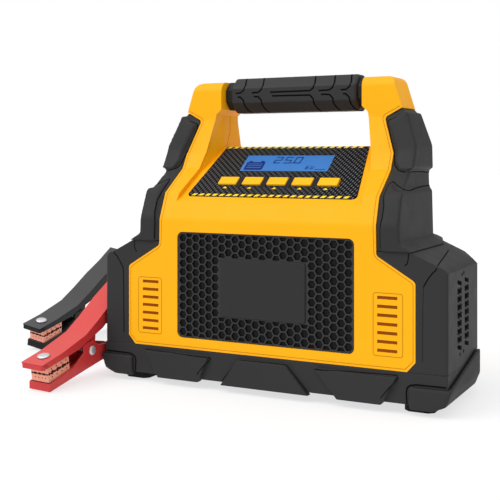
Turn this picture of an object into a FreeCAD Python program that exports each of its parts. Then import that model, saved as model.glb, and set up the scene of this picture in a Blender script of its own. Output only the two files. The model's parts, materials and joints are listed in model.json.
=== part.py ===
import FreeCAD, Part
import functools
import math
import os

# Car battery charger on rubber feet, in millimetres. X runs to the right of the front, Y to the
# back and Z up. The origin is on the ground under the middle of the housing.

V = FreeCAD.Vector
os.makedirs("parts", exist_ok=True)

# Housing
BODY_HALF_WIDTH = 153.5
BODY_HALF_DEPTH = 73.3
BASE_Z = 7.5
BASE_CORNER = 12.0
BASE_CORNER_BEND = 3.5
BELT_TOP_Z = 32.0
SHOULDER_Z = 110.5
SHOULDER_CUT = 3.5
WAIST_HALF_WIDTH = 114.4
WAIST_Z = 126.5
LEG_HALF_WIDTH = 112.4
LEG_BEND_Z = 203.0
HORN_HALF_WIDTH = 100.6
HORN_Z = 235.0
TOP_HALF_WIDTH = 92.5
TOP_Z = 260.4
TOP_CORNER = 8.0
LEAN_START_Z = 141.0
LEAN_START_RADIUS = 12.0
LEAN_KNEE = (64.5, 163.0)
LEG_KNEE = (36.5, 183.5)
LEG_SHIN = (28.5, 198.0)
LEG_TOP_BEND_Z = 226.5
LEG_HALF_DEPTH = 20.7
LEG_TOP_RADIUS = 9.0
REAR_LEAN_Z = 120.0
REAR_KNEE = (44.0, 160.0)
SIDE_FLAT_END_Y = 14.0
SIDE_TAPER = 22.5
REAR_HALF_WIDTH = BODY_HALF_WIDTH - SIDE_TAPER
REAR_CORNER_CUT = 6.0
WALL = 2.6
COVER_WALL = 3.0
PAD_WALL = 4.0
PARTING_Y = 6.0
PAD_SPLIT_Z = 121.5
FIT = 0.25

# Yellow front, seen from the front
FACE_SIDE_BORDER = 24.7
FACE_HALF_WIDTH = BODY_HALF_WIDTH - FACE_SIDE_BORDER
FACE_CHAMFER_Z = 39.5
FACE_BOTTOM_INSET = 6.6
FACE_BOTTOM_HALF_WIDTH = FACE_HALF_WIDTH - FACE_BOTTOM_INSET
FACE_SHOULDER_Z = 99.6
NECK_HALF_WIDTH = 97.8
NECK_Z = 118.4
KNEE_FACE_HALF_WIDTH = 96.6
KNEE_FACE_Z = 196.5
LEG_FACE_TOP_HALF_WIDTH = 86.4
LEG_FACE_TOP_Z = 226.0
HORN_FACE_Z = 233.8

# Raised armour on the legs, seen from the front
PLATE_EDGE = 4.0
UPPER_PLATE_PROUD = 3.5
UPPER_PLATE_LOW = (184.0, 190.5)
UPPER_PLATE_HIGH = (222.5, 231.5)
LOWER_PLATE_PROUD = 2.4
LOWER_PLATE_HIGH = (167.0, 173.5)

# Console between the legs
CONSOLE_HALF_WIDTH_LOW = 84.2
CONSOLE_HALF_WIDTH_HIGH = 71.6
CONSOLE_SIDE_LOW_Z = 156.5
CONSOLE_SIDE_HIGH_Z = 231.0
CONSOLE_FLARE = ((86.0, -66.0), (78.6, -30.0), (71.5, -6.0))
CONSOLE_LOW_Y = -70.5
CONSOLE_LOW_Z = 153.5
CONSOLE_LIP = 4.6
CONSOLE_HIGH_Y = -5.5
CONSOLE_HIGH_Z = 202.8
CREST_DEPTH = 9.0
SOCKET_HALF_WIDTH = 66.3
SOCKET_Z = 236.0

# Control panel, button row and display, measured on the slope from the panel's middle
PANEL_UP = 5.1
PANEL_LENGTH = 69.6
PANEL_HALF_WIDTH_LOW = 77.4
PANEL_HALF_WIDTH_HIGH = 67.8
PANEL_CORNER = 4.0
PANEL_THICKNESS = 2.6
PANEL_SINK = 1.8
PANEL_RIM = 4.0
DISPLAY_LOW = 0.2
DISPLAY_HIGH = 22.2
DISPLAY_HALF_WIDTH = 41.0
WINDOW_THICKNESS = 1.6
WINDOW_SINK = 0.4
BUTTON_COUNT = 5
BUTTON_PITCH = 23.05
BUTTON_MIDDLE_U = 1.5
BUTTON_WIDTH = 18.8
BUTTON_LENGTH = 9.4
BUTTON_MID = -14.7
BUTTON_STANDS = 2.0
BUTTON_GAP = 0.3
BUTTON_FLANGE = 1.2
BUTTON_FLANGE_REACH = 1.4
BUTTON_TRAVEL = 1.2
BOARD_THICKNESS = 1.6
BOARD_DROP = 9.0
CONTROL_BOARD_HALF = (62.0, 26.0)
SWITCH_SIZE = 6.0
SWITCH_CLEARANCE = 0.3
STANDOFF_RADIUS = 2.5
STANDOFF_INSET = 5.0

# Front grille and badge plate
GRILLE_HALF_WIDTH = 79.7
GRILLE_LOW_Z = 41.4
GRILLE_HIGH_Z = 130.2
GRILLE_CORNER = 5.0
GRILLE_SET_BACK = 1.0
GRILLE_THICKNESS = 4.4
GRILLE_FLANGE = 4.0
GRILLE_FLANGE_THICKNESS = 2.0
GRILLE_BORDER = 1.1
POCKET_DEPTH = 2.6
POCKET_PITCH = 7.2
POCKET_WEB = 1.1
BADGE_HALF_WIDTH = 38.5
BADGE_LOW_Z = 61.6
BADGE_HIGH_Z = 109.4
BADGE_CORNER = 2.0
BADGE_THICKNESS = 1.4
BADGE_GAP = 0.8

# Vents
FACE_VENT_INSET = 14.1
FACE_VENT_LENGTH = 16.1
FACE_VENT_LOW_Z = 45.2
FACE_VENT_COUNT = 7
FACE_VENT_PITCH = 6.7
FACE_VENT_SLOT = 2.5
FACE_VENT_DEPTH = 1.2
SIDE_VENT_Y = -30.1
SIDE_VENT_Z = 72.4
SIDE_VENT_RADIUS = 31.0
SIDE_VENT_ROWS = 9
SIDE_VENT_PITCH = 6.2
SIDE_VENT_SLOT = 3.2
SIDE_VENT_LENGTH = 12.0
SIDE_VENT_HUB = 9.0
SIDE_VENT_SLANT = 0.22
REAR_VENT_COUNT = 5
REAR_VENT_Z = 74.0
REAR_VENT_PITCH = 8.0
REAR_VENT_SLOT = 3.5
REAR_VENT_HALF_WIDTH = 26.0

# Bumpers and feet
BUMPER_PROUD = 3.0
BLOCK_PROUD = 3.6
BLOCK_TOP_Z = 27.6
BLOCK_BOTTOM_Z = 5.6
# Share of the half width that each block's corners keep: top left, low left, low right, top right
BLOCK_SHARES = ((-0.723, -0.635, -0.378, -0.313), (-0.137, -0.239, 0.276, 0.147),
                (0.309, 0.433, 0.667, 0.748))
REAR_BUMPER_SHARE = 0.762
CORNER_TOP_FRONT_Z = 22.0
CORNER_TOP_SIDE_Z = 38.0
CORNER_REACH = 29.5
CORNER_END_Y = 13.0
CORNER_RISE = 8.0
CORNER_GAP = 4.0
FOOT_SIZE = 24.0
FOOT_CORNER = 4.0
FOOT_FRONT_INSET = 25.5
FOOT_REAR_INSET = 19.0
FOOT_DEPTH_INSET = 21.3

# Grip
GRIP_Z = 248.2
GRIP_HALF_LENGTH = 66.2
GRIP_ACROSS = 31.0
GRIP_CHAMFER = 9.0
GRIP_GROOVE = 1.6
GRIP_GROOVE_WIDTH = 3.0
GRIP_GROOVES = (-38.0, -2.0, 16.0, 36.0)
GRIP_SEAM = 2.4
COLLAR_LENGTH = 6.8
COLLAR_STEP = 3.0
TUBE_RADIUS = 9.0
TUBE_WALL = 1.6
TUBE_FIT = 0.1
TUBE_INSET = 7.0

# Screws
SCREW_PLACES = ((-112.0, 60.0), (112.0, 60.0), (-60.0, 146.0), (60.0, 146.0))
SCREW_RADIUS = 1.9
SCREW_HEAD_RADIUS = 3.6
SCREW_HEAD = 2.6
SCREW_LENGTH = 16.0
SCREW_SEAT = 5.0
BOSS_RADIUS = 5.5

# Boards and what stands on them
BOARD_END_ROOM = 10.8
BOARD_HALF_LENGTH = FACE_HALF_WIDTH - BOARD_END_ROOM
BOARD_HALF_DEPTH = 56.0
BOARD_Z = 18.0
BOARD_POST_RADIUS = 4.0
BOARD_POST_INSET = 8.0
TRANSFORMER_PLACE = (-42.0, 8.0)
TRANSFORMER_SIZE = (66.0, 34.0, 56.0)
WINDING_GAP = 0.4
WINDING_CORNER = 6.0
HEAT_SINK_PLACE = (48.0, -8.0)
HEAT_SINK_SIZE = (84.0, 48.0, 42.0)
HEAT_SINK_BASE = 5.0
HEAT_SINK_FIN = 2.0
HEAT_SINK_FINS = 8
CAPACITOR_RADIUS = 9.0
CAPACITOR_HEIGHT = 30.0
CAPACITOR_Y = 42.0
CAPACITOR_X = (0.0, 21.0, 42.0)
BOARD_END_GAP = 10.0
FILM_CAPACITOR_Y = 27.0
FILM_CAPACITOR_SIZE = (14.0, 8.0, 16.0)
TERMINAL_BLOCK_Y = 43.0
TERMINAL_BLOCK_SIZE = (12.0, 14.0, 14.0)

# Fan behind the left vent
FAN_SIZE = 60.0
FAN_DEPTH = 15.0
FAN_RIM = 2.0
FAN_CORNER = 4.0
FAN_ARM = 4.0
FAN_ARM_THICKNESS = 2.5
FAN_HUB_RADIUS = 10.0
FAN_PIN_RADIUS = 1.5
FAN_PIN_START = 3.0
FAN_BLADES = 7
FAN_BLADE_THICKNESS = 1.6
FAN_BLADE_TURN = 38.0
FAN_END_GAP = 1.5
FAN_ARM_GAP = 0.3
FAN_TIP_GAP = 1.8
RUNNING_FIT = 0.08

# Mains inlet and lead glands in the rear shell
INLET_PLACE = (REAR_HALF_WIDTH - 53.0, 62.0)
INLET_OPENING = (24.0, 16.0)
INLET_FLANGE = (10.0, 4.0)
INLET_FLANGE_THICKNESS = 3.0
INLET_CORNER = 4.0
INLET_WALL = 2.0
INLET_DEPTH = 17.0
INLET_PINS = ((-7.0, -2.0), (7.0, -2.0), (0.0, 3.0))
INLET_PIN_HALF = (1.0, 2.0)
INLET_PIN_SINK = 4.0
GLAND_X = (-60.0, 40.0)
GLAND_Z = 48.0
GLAND_RADIUS = 6.5
GLAND_RIM = 2.0
GLAND_NUT = 3.4
GLAND_NECK = 7.0
GLAND_BORE = 5.0
LEAD_RADIUS = 3.5

# Clamps, in their own frame: l from the nose to the tail, w to the left, h up
CLAMP_WIDTH = 22.0
CLAMP_LENGTH = 134.0
CLAMP_SHEET = 1.8
UPPER_TOP = ((-9.5, 26.0), (17.0, 26.6), (50.0, 30.2), (70.0, 37.6), (92.0, 47.2), (114.0, 54.8))
UPPER_TAIL_H = 64.0
UPPER_TAIL_DEPTH = 13.0
UPPER_UNDER = ((113.0, 43.0), (92.0, 35.6), (74.0, 27.8), (50.0, 23.4), (40.0, 21.2), (-4.0, 20.8))
UPPER_EAR = ((46.0, 28.6), (49.0, 9.7), (62.0, 9.7), (68.0, 35.2))
UPPER_EAR_RADIUS = 7.6
LOWER_BOTTOM = ((100.0, -9.5), (76.0, -0.6), (45.0, -0.1), (-3.0, 0.0))
LOWER_TAIL = (130.0, -27.0)
LOWER_TAIL_DEPTH = 11.0
LOWER_OVER = ((-2.0, 6.7), (30.0, 8.4), (39.0, 12.5), (45.0, 15.0), (46.0, 22.0), (59.0, 22.0),
              (66.0, 15.0), (76.0, 12.4), (100.0, 2.6))
PIVOT_L = 56.0
PIVOT_H = 13.7
RIVET_RADIUS = 2.4
RIVET_HEAD = 4.2
RIVET_HEAD_THICKNESS = 1.3
EAR_GAP = 0.3
NOSE_RIVET_L = 6.0
NOSE_RIVET_RADIUS = 2.0
NOSE_RIVET_HEAD = 5.4
NOSE_RIVET_STEP = 0.9
NOSE_TOP = 26.7
JAW_FRONT = -1.0
JAW_BACK = 27.0
JAW_SHEET = 1.5
JAW_MEET = 14.2
JAW_MEET_GAP = 0.15
JAW_TOP = 24.1
JAW_SIDE_GAP = 0.4
JAW_TEETH = (5.0, 12.0, 19.0)
JAW_TOOTH = 1.8
JAW_NOTCHES = (6.5, 11.0, 15.5)
JAW_NOTCH = 1.0
SPRING_WIRE = 0.9
SPRING_RADIUS = RIVET_RADIUS + SPRING_WIRE + 0.3
SPRING_PITCH = 2.4
SPRING_TURNS = 2.5
SPRING_STEPS = 30
SPRING_LEG = 8.0
RED_CLAMP_BESIDE = 5.7
RED_CLAMP_AHEAD = 66.5
RED_CLAMP_NOSE = (-BODY_HALF_WIDTH - RED_CLAMP_BESIDE, -BODY_HALF_DEPTH - RED_CLAMP_AHEAD, 0.8)
RED_CLAMP_TURN = (0.9, 11.5, 2.5)
BLACK_CLAMP_NOSE = (-275.4, -5.6, 0.62)
BLACK_CLAMP_TURN = (2.3, 11.8, 10.0)

# Longer than anything on the part, for cuts that go right through
FAR = 400.0


def inset(corners, distance):
    """Corners (u, v, radius) of a closed outline, moved inward by distance.

    An inner corner is left sharp where the wall beside it keeps half of its thickness.
    """
    count = len(corners)
    area = sum(corners[i][0] * corners[(i + 1) % count][1] - corners[(i + 1) % count][0] * corners[i][1]
               for i in range(count))
    turn = 1.0 if area > 0 else -1.0
    moved = []
    for i in range(count):
        before = V(corners[i - 1][0], corners[i - 1][1], 0)
        here = V(corners[i][0], corners[i][1], 0)
        after = V(corners[(i + 1) % count][0], corners[(i + 1) % count][1], 0)
        run_in = (here - before).normalize()
        run_out = (after - here).normalize()
        in_side = V(-run_in.y, run_in.x, 0) * turn
        out_side = V(-run_out.y, run_out.x, 0) * turn
        shift = (in_side + out_side) * (distance / (1 + in_side.dot(out_side)))
        convex = (run_in.x * run_out.y - run_in.y * run_out.x) * turn > 0
        radius = corners[i][2]
        lean = math.sqrt((1 + run_in.dot(run_out)) / 2)
        if distance > 0 and (not convex or radius * (1 - lean) < distance * (1 - lean / 2)):
            radius = 0.0
        elif radius > 0:
            radius = radius - distance if convex else radius + distance
        moved.append((here.x + shift.x, here.y + shift.y, radius))
    return moved


def mirrored(half):
    """Full outline from its right half, whose corners run upward."""
    return half + [(-u, v, r) for u, v, r in reversed(half)]


def plain(points):
    """Corners without rounding."""
    return [(u, v, 0.0) for u, v in points]


def face_of(corners, place):
    """Flat face with rounded corners; place turns u, v into a point of space."""
    count = len(corners)
    stops = []
    for i in range(count):
        here = V(corners[i][0], corners[i][1], 0)
        radius = corners[i][2]
        if radius <= 0:
            stops.append((here, None, here))
            continue
        back = (V(corners[i - 1][0], corners[i - 1][1], 0) - here).normalize()
        ahead = (V(corners[(i + 1) % count][0], corners[(i + 1) % count][1], 0) - here).normalize()
        half = back.getAngle(ahead) / 2
        reach = radius / math.tan(half)
        middle = here + (back + ahead).normalize() * (radius / math.sin(half) - radius)
        stops.append((here + back * reach, middle, here + ahead * reach))
    edges = []
    for i in range(count):
        start, middle, end = stops[i]
        if middle is not None:
            arc = Part.Arc(place(start.x, start.y), place(middle.x, middle.y), place(end.x, end.y))
            edges.append(arc.toShape())
        following = stops[(i + 1) % count][0]
        if end.distanceToPoint(following) > 1e-6:
            edges.append(Part.makeLine(place(end.x, end.y), place(following.x, following.y)))
    return Part.Face(Part.Wire(edges))


def xz_solid(corners, y0, y1):
    return face_of(corners, lambda u, v: V(u, y0, v)).extrude(V(0, y1 - y0, 0))


def yz_solid(corners, x0, x1):
    return face_of(corners, lambda u, v: V(x0, u, v)).extrude(V(x1 - x0, 0, 0))


def xy_solid(corners, z0, z1):
    return face_of(corners, lambda u, v: V(u, v, z0)).extrude(V(0, 0, z1 - z0))


def block(x0, x1, y0, y1, z0, z1):
    return Part.makeBox(x1 - x0, y1 - y0, z1 - z0, V(x0, y0, z0))


def box_corners(u0, u1, v0, v1, radius=0.0):
    return [(u0, v0, radius), (u1, v0, radius), (u1, v1, radius), (u0, v1, radius)]


def around(u, v, half_u, half_v, radius=0.0):
    return box_corners(u - half_u, u + half_u, v - half_v, v + half_v, radius)


def rod(radius, start, end):
    return Part.makeCylinder(radius, start.distanceToPoint(end), start, end - start)


def prism(sides, radius, start, end):
    """Rod with flat sides that lie outside the radius."""
    along = (end - start).normalize()
    across = along.cross(V(0, 0, 1) if abs(along.z) < 0.9 else V(1, 0, 0)).normalize()
    other = along.cross(across)
    reach = radius / math.cos(math.pi / sides)
    points = []
    for i in range(sides + 1):
        angle = 2 * math.pi * (i + 0.5) / sides
        points.append(start + across * (reach * math.cos(angle)) + other * (reach * math.sin(angle)))
    return Part.Face(Part.makePolygon(points)).extrude(end - start)


def fused(shapes):
    return shapes[0].multiFuse(shapes[1:]).removeSplitter() if len(shapes) > 1 else shapes[0]


def flipped(shape):
    """The same shape on the other side of the middle plane."""
    return shape.mirror(V(0, 0, 0), V(1, 0, 0))


def turned(shape, placement):
    copy = shape.copy()
    copy.Placement = placement.multiply(copy.Placement)
    return copy


def save(name, shape):
    solids = shape.Solids
    kept = solids[0] if len(solids) == 1 else Part.makeCompound(solids)
    print("%-26s solids %2d  volume %9.0f  valid %s" % (name, len(solids), kept.Volume, kept.isValid()))
    kept.exportStep("parts/" + name + ".step")


# Outlines of the housing from the front and the side
FRONT_OUTLINE = mirrored([
    (BODY_HALF_WIDTH - BASE_CORNER, BASE_Z, 0.0),
    (BODY_HALF_WIDTH - BASE_CORNER_BEND, BASE_Z + BASE_CORNER_BEND, 0.0),
    (BODY_HALF_WIDTH, BASE_Z + BASE_CORNER, 0.0), (BODY_HALF_WIDTH, SHOULDER_Z - SHOULDER_CUT, 0.0),
    (BODY_HALF_WIDTH - SHOULDER_CUT, SHOULDER_Z, 0.0), (WAIST_HALF_WIDTH, WAIST_Z, 0.0),
    (LEG_HALF_WIDTH, LEG_BEND_Z, 0.0), (HORN_HALF_WIDTH, HORN_Z, 0.0), (TOP_HALF_WIDTH, TOP_Z, TOP_CORNER)])
SIDE_OUTLINE = [
    (-BODY_HALF_DEPTH, BASE_Z, 0.0), (BODY_HALF_DEPTH, BASE_Z, 0.0),
    (BODY_HALF_DEPTH, REAR_LEAN_Z, 0.0), (REAR_KNEE[0], REAR_KNEE[1], 0.0),
    (LEG_SHIN[0], LEG_SHIN[1], 0.0), (LEG_HALF_DEPTH, LEG_TOP_BEND_Z, 0.0),
    (LEG_HALF_DEPTH, TOP_Z, LEG_TOP_RADIUS), (-LEG_HALF_DEPTH, TOP_Z, LEG_TOP_RADIUS),
    (-LEG_HALF_DEPTH, LEG_TOP_BEND_Z, 0.0), (-LEG_SHIN[0], LEG_SHIN[1], 0.0),
    (-LEG_KNEE[0], LEG_KNEE[1], 0.0), (-LEAN_KNEE[0], LEAN_KNEE[1], 0.0),
    (-BODY_HALF_DEPTH, LEAN_START_Z, LEAN_START_RADIUS)]

# Narrowing of the housing behind the flat part of its sides, and the cut of its rear corners
NARROWING = (BODY_HALF_WIDTH - REAR_HALF_WIDTH) / (BODY_HALF_DEPTH - SIDE_FLAT_END_Y)
PLAN_OUTLINE = plain([
    (-REAR_HALF_WIDTH, BODY_HALF_DEPTH), (-BODY_HALF_WIDTH, SIDE_FLAT_END_Y),
    (-BODY_HALF_WIDTH, -BODY_HALF_DEPTH), (BODY_HALF_WIDTH, -BODY_HALF_DEPTH),
    (BODY_HALF_WIDTH, SIDE_FLAT_END_Y), (REAR_HALF_WIDTH, BODY_HALF_DEPTH)])
CUT_START_X = REAR_HALF_WIDTH - REAR_CORNER_CUT
CUT_RUN = REAR_CORNER_CUT * (1 + NARROWING)
CORNER_CUT_OUTLINE = plain([
    (CUT_START_X, BODY_HALF_DEPTH), (-CUT_START_X, BODY_HALF_DEPTH),
    (-CUT_START_X - FAR * CUT_RUN / REAR_CORNER_CUT, BODY_HALF_DEPTH - FAR),
    (CUT_START_X + FAR * CUT_RUN / REAR_CORNER_CUT, BODY_HALF_DEPTH - FAR)])

FACE_OUTLINE = mirrored([
    (FACE_BOTTOM_HALF_WIDTH, 0.0, 0.0), (FACE_BOTTOM_HALF_WIDTH, BELT_TOP_Z, 0.0),
    (FACE_HALF_WIDTH, FACE_CHAMFER_Z, 0.0), (FACE_HALF_WIDTH, FACE_SHOULDER_Z, 4.0),
    (NECK_HALF_WIDTH, NECK_Z, 4.0), (KNEE_FACE_HALF_WIDTH, KNEE_FACE_Z, 0.0),
    (LEG_FACE_TOP_HALF_WIDTH, LEG_FACE_TOP_Z, 3.0), (HORN_HALF_WIDTH, HORN_FACE_Z, 0.0),
    (HORN_HALF_WIDTH + FAR, HORN_Z, 0.0), (HORN_HALF_WIDTH + FAR, FAR, 0.0)])

# Open space over the console, from the front, the side and above
CONSOLE_SIDES = mirrored(plain([
    (CONSOLE_HALF_WIDTH_LOW + 2.0, 0.0), (CONSOLE_HALF_WIDTH_LOW, CONSOLE_SIDE_LOW_Z),
    (CONSOLE_HALF_WIDTH_HIGH, CONSOLE_SIDE_HIGH_Z), (SOCKET_HALF_WIDTH, SOCKET_Z),
    (SOCKET_HALF_WIDTH, FAR)]))
CONSOLE_ABOVE = [
    (-FAR, CONSOLE_LOW_Z - FAR, 0.0), (CONSOLE_LOW_Y - CONSOLE_LIP, CONSOLE_LOW_Z - CONSOLE_LIP, 0.0),
    (CONSOLE_LOW_Y, CONSOLE_LOW_Z, 0.0), (CONSOLE_HIGH_Y, CONSOLE_HIGH_Z, 0.0),
    (CONSOLE_HIGH_Y + CREST_DEPTH, CONSOLE_HIGH_Z, 0.0), (BODY_HALF_DEPTH, LEAN_START_Z, 0.0),
    (FAR, LEAN_START_Z - FAR, 0.0), (FAR, FAR, 0.0), (-FAR, FAR, 0.0)]
CONSOLE_PLAN = mirrored(plain(
    [(CONSOLE_FLARE[0][0], -FAR)] + list(CONSOLE_FLARE) + [(CONSOLE_FLARE[-1][0], FAR)]))

# Frame of the control panel: u across, v up the slope, height along the panel's normal
SLOPE = math.atan2(CONSOLE_HIGH_Z - CONSOLE_LOW_Z, CONSOLE_HIGH_Y - CONSOLE_LOW_Y)
PANEL_MIDDLE = V(0, (CONSOLE_LOW_Y + CONSOLE_HIGH_Y) / 2 + PANEL_UP * math.cos(SLOPE),
                 (CONSOLE_LOW_Z + CONSOLE_HIGH_Z) / 2 + PANEL_UP * math.sin(SLOPE))
PANEL_PLACE = FreeCAD.Placement(PANEL_MIDDLE, FreeCAD.Rotation(V(1, 0, 0), math.degrees(SLOPE)))
PANEL_TOP = PANEL_THICKNESS - PANEL_SINK

# Frame of the front grille
GRILLE_FRONT_Y = -BODY_HALF_DEPTH + GRILLE_SET_BACK
GRILLE_MIDDLE_Z = (GRILLE_LOW_Z + GRILLE_HIGH_Z) / 2
GRILLE_HALF_HEIGHT = (GRILLE_HIGH_Z - GRILLE_LOW_Z) / 2


def front_form(distance):
    """Front outline drawn to the back: straight along the flat sides, then narrowing."""
    outline = inset(FRONT_OUTLINE, distance)
    straight = xz_solid(outline, -FAR, SIDE_FLAT_END_Y)
    right = outline[:len(outline) // 2]
    half = right + plain([(0.0, right[-1][1]), (0.0, right[0][1])])
    run = BODY_HALF_DEPTH
    rear = face_of(half, lambda u, v: V(u, SIDE_FLAT_END_Y, v)).extrude(V(-NARROWING * run, run, 0))
    return straight.fuse([rear, flipped(rear)]).removeSplitter()


@functools.lru_cache
def envelope(distance):
    """Outer form of the housing, moved inward by distance."""
    side = yz_solid(inset(SIDE_OUTLINE, distance), -FAR, FAR)
    plan = xy_solid(inset(CORNER_CUT_OUTLINE, distance), -FAR, FAR)
    return front_form(distance).common(side).common(plan)


@functools.lru_cache
def console_space(distance):
    """Open space over the console between the legs, grown by distance."""
    sides = xz_solid(inset(CONSOLE_SIDES, -distance), -FAR, FAR)
    above = yz_solid(inset(CONSOLE_ABOVE, -distance), -FAR, FAR)
    plan = xy_solid(inset(CONSOLE_PLAN, -distance), -FAR, FAR)
    return sides.common(above).common(plan)


def panel_solid(corners, low, high):
    return turned(xy_solid(corners, low, high), PANEL_PLACE)


def panel_outline(distance):
    half = PANEL_LENGTH / 2
    low, high = PANEL_HALF_WIDTH_LOW, PANEL_HALF_WIDTH_HIGH
    corners = [(-low, -half, PANEL_CORNER), (low, -half, PANEL_CORNER), (high, half, 0.0),
               (-high, half, 0.0)]
    return inset(corners, distance)


def display_outline(distance):
    return box_corners(-DISPLAY_HALF_WIDTH + distance, DISPLAY_HALF_WIDTH - distance, DISPLAY_LOW + distance,
                       DISPLAY_HIGH - distance)


def button_middles():
    return [BUTTON_MIDDLE_U + (i - (BUTTON_COUNT - 1) / 2) * BUTTON_PITCH for i in range(BUTTON_COUNT)]


def button_corners(u, grown):
    return around(u, BUTTON_MID, BUTTON_WIDTH / 2 + grown, BUTTON_LENGTH / 2 + grown)


def face_vents():
    """Blind slots beside the grille."""
    cuts = []
    outer = FACE_HALF_WIDTH - FACE_VENT_INSET
    for side in (-1, 1):
        x0, x1 = sorted((side * outer, side * (outer - FACE_VENT_LENGTH)))
        for i in range(FACE_VENT_COUNT):
            z0 = FACE_VENT_LOW_Z + i * FACE_VENT_PITCH
            cuts.append(block(x0, x1, -FAR, -BODY_HALF_DEPTH + FACE_VENT_DEPTH, z0, z0 + FACE_VENT_SLOT))
    return cuts


def rear_vents():
    cuts = []
    for i in range(REAR_VENT_COUNT):
        z0 = REAR_VENT_Z + i * REAR_VENT_PITCH
        cuts.append(block(-REAR_VENT_HALF_WIDTH, REAR_VENT_HALF_WIDTH, BODY_HALF_DEPTH - 2 * WALL, FAR,
                          z0, z0 + REAR_VENT_SLOT))
    return cuts


def side_vent_slots():
    """Slanted slots in two columns inside the round vent of the right cover."""
    cuts = []
    inner = SIDE_VENT_HUB / 2
    half = SIDE_VENT_SLOT / 2
    for row in range(SIDE_VENT_ROWS):
        lift = (row - (SIDE_VENT_ROWS - 1) / 2) * SIDE_VENT_PITCH
        z = SIDE_VENT_Z + lift
        outer = min(inner + SIDE_VENT_LENGTH, math.sqrt(SIDE_VENT_RADIUS ** 2 - lift ** 2))
        for end in (-1, 1):
            y0, y1 = sorted((SIDE_VENT_Y + end * inner, SIDE_VENT_Y + end * outer))
            fall = SIDE_VENT_SLANT * (y1 - y0) / 2
            corners = plain([(y0, z - half + fall), (y1, z - half - fall),
                             (y1, z + half - fall), (y0, z + half + fall)])
            cuts.append(yz_solid(corners, BODY_HALF_WIDTH - 2 * COVER_WALL, FAR))
    return cuts


def main_housing():
    """Yellow shell in its front and rear halves, with the screw posts that join them."""
    core = xz_solid(FACE_OUTLINE, -FAR, FAR)
    core_inner = xz_solid(inset(FACE_OUTLINE, WALL), -FAR, FAR)
    low_space = block(-FAR, FAR, -FAR, FAR, 0, FACE_SHOULDER_Z - WALL)
    body = envelope(0).cut(console_space(0)).common(core).cut(block(-FAR, FAR, -FAR, FAR, -FAR, BELT_TOP_Z))
    cavity = envelope(WALL).cut(console_space(WALL)).common(core_inner.fuse(low_space))
    grille_opening = around(0, GRILLE_MIDDLE_Z, GRILLE_HALF_WIDTH + FIT, GRILLE_HALF_HEIGHT + FIT,
                            GRILLE_CORNER)
    seat = panel_solid(panel_outline(-FIT), -PANEL_SINK, PANEL_LENGTH)
    window = panel_solid(panel_outline(PANEL_RIM), -PANEL_LENGTH / 2, PANEL_LENGTH)
    reach = TOP_HALF_WIDTH - WALL
    tube = rod(TUBE_RADIUS + TUBE_FIT, V(-reach, 0, GRIP_Z), V(reach, 0, GRIP_Z))
    shell = body.cut(cavity).cut([xz_solid(grille_opening, -FAR, -BODY_HALF_DEPTH + 2 * WALL), seat, tube]
                                 + face_vents() + rear_vents())
    shell = shell.cut(window)
    posts = []
    sleeves = []
    holes = []
    skin_middle = envelope(WALL / 2).cut(console_space(WALL / 2))
    seat_y = PARTING_Y + SCREW_SEAT
    for x, z in SCREW_PLACES:
        posts.append(prism(8, BOSS_RADIUS, V(x, -FAR, z), V(x, PARTING_Y, z)).common(skin_middle))
        sleeves.append(prism(8, BOSS_RADIUS, V(x, PARTING_Y, z), V(x, FAR, z)).common(skin_middle))
        holes.append(prism(6, SCREW_RADIUS, V(x, PARTING_Y - SCREW_LENGTH, z), V(x, seat_y + 1, z)))
        holes.append(prism(8, SCREW_HEAD_RADIUS + FIT, V(x, seat_y, z), V(x, FAR, z)))
    front = shell.common(block(-FAR, FAR, -FAR, PARTING_Y, -FAR, FAR)).fuse(posts).cut(holes)
    rear = shell.common(block(-FAR, FAR, PARTING_Y, FAR, -FAR, FAR)).fuse(sleeves).cut(holes)
    return front.removeSplitter(), rear.removeSplitter()


def screws():
    parts = []
    seat_y = PARTING_Y + SCREW_SEAT
    for x, z in SCREW_PLACES:
        shank = prism(6, SCREW_RADIUS, V(x, PARTING_Y - SCREW_LENGTH + 2 * WALL, z), V(x, seat_y, z))
        head = prism(8, SCREW_HEAD_RADIUS, V(x, seat_y, z), V(x, seat_y + SCREW_HEAD, z))
        parts.append(shank.fuse(head))
    return Part.makeCompound(parts)


def side_form():
    """Everything of the housing outside the yellow face's outline, on the right."""
    form = envelope(0).cut(console_space(0)).cut(xz_solid(FACE_OUTLINE, -FAR, FAR))
    return form.common(block(0, FAR, -FAR, FAR, 0, FAR))


def right_side_cover():
    cover = side_form().common(block(0, FAR, -FAR, FAR, BELT_TOP_Z, PAD_SPLIT_Z)).cut(envelope(COVER_WALL))
    return cover.cut(side_vent_slots())


def armour_plate(corners, proud):
    """Raised field of the right leg pad inside corners, which are seen from the front."""
    skin = envelope(-proud).cut(envelope(0)).cut(console_space(0))
    return skin.common(xz_solid(plain(corners), -FAR, FAR))


def right_leg_pad():
    pad = side_form().common(block(0, FAR, -FAR, FAR, PAD_SPLIT_Z, FAR)).cut(envelope(PAD_WALL))
    neck = NECK_HALF_WIDTH + PLATE_EDGE
    knee = KNEE_FACE_HALF_WIDTH + PLATE_EDGE
    top = LEG_FACE_TOP_HALF_WIDTH + PLATE_EDGE
    low, low_inner = UPPER_PLATE_LOW
    high_inner, high = UPPER_PLATE_HIGH
    upper = [(knee, low_inner), (knee + PLATE_EDGE, low), (FAR, low), (FAR, high),
             (top + 4 * PLATE_EDGE, high), (top, high_inner), (knee, KNEE_FACE_Z)]
    high, high_inner = LOWER_PLATE_HIGH
    lower = [(neck, PAD_SPLIT_Z), (FAR, PAD_SPLIT_Z), (FAR, high), (neck + 2 * PLATE_EDGE, high),
             (neck, high_inner)]
    return fused([pad, armour_plate(upper, UPPER_PLATE_PROUD), armour_plate(lower, LOWER_PLATE_PROUD)])


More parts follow.
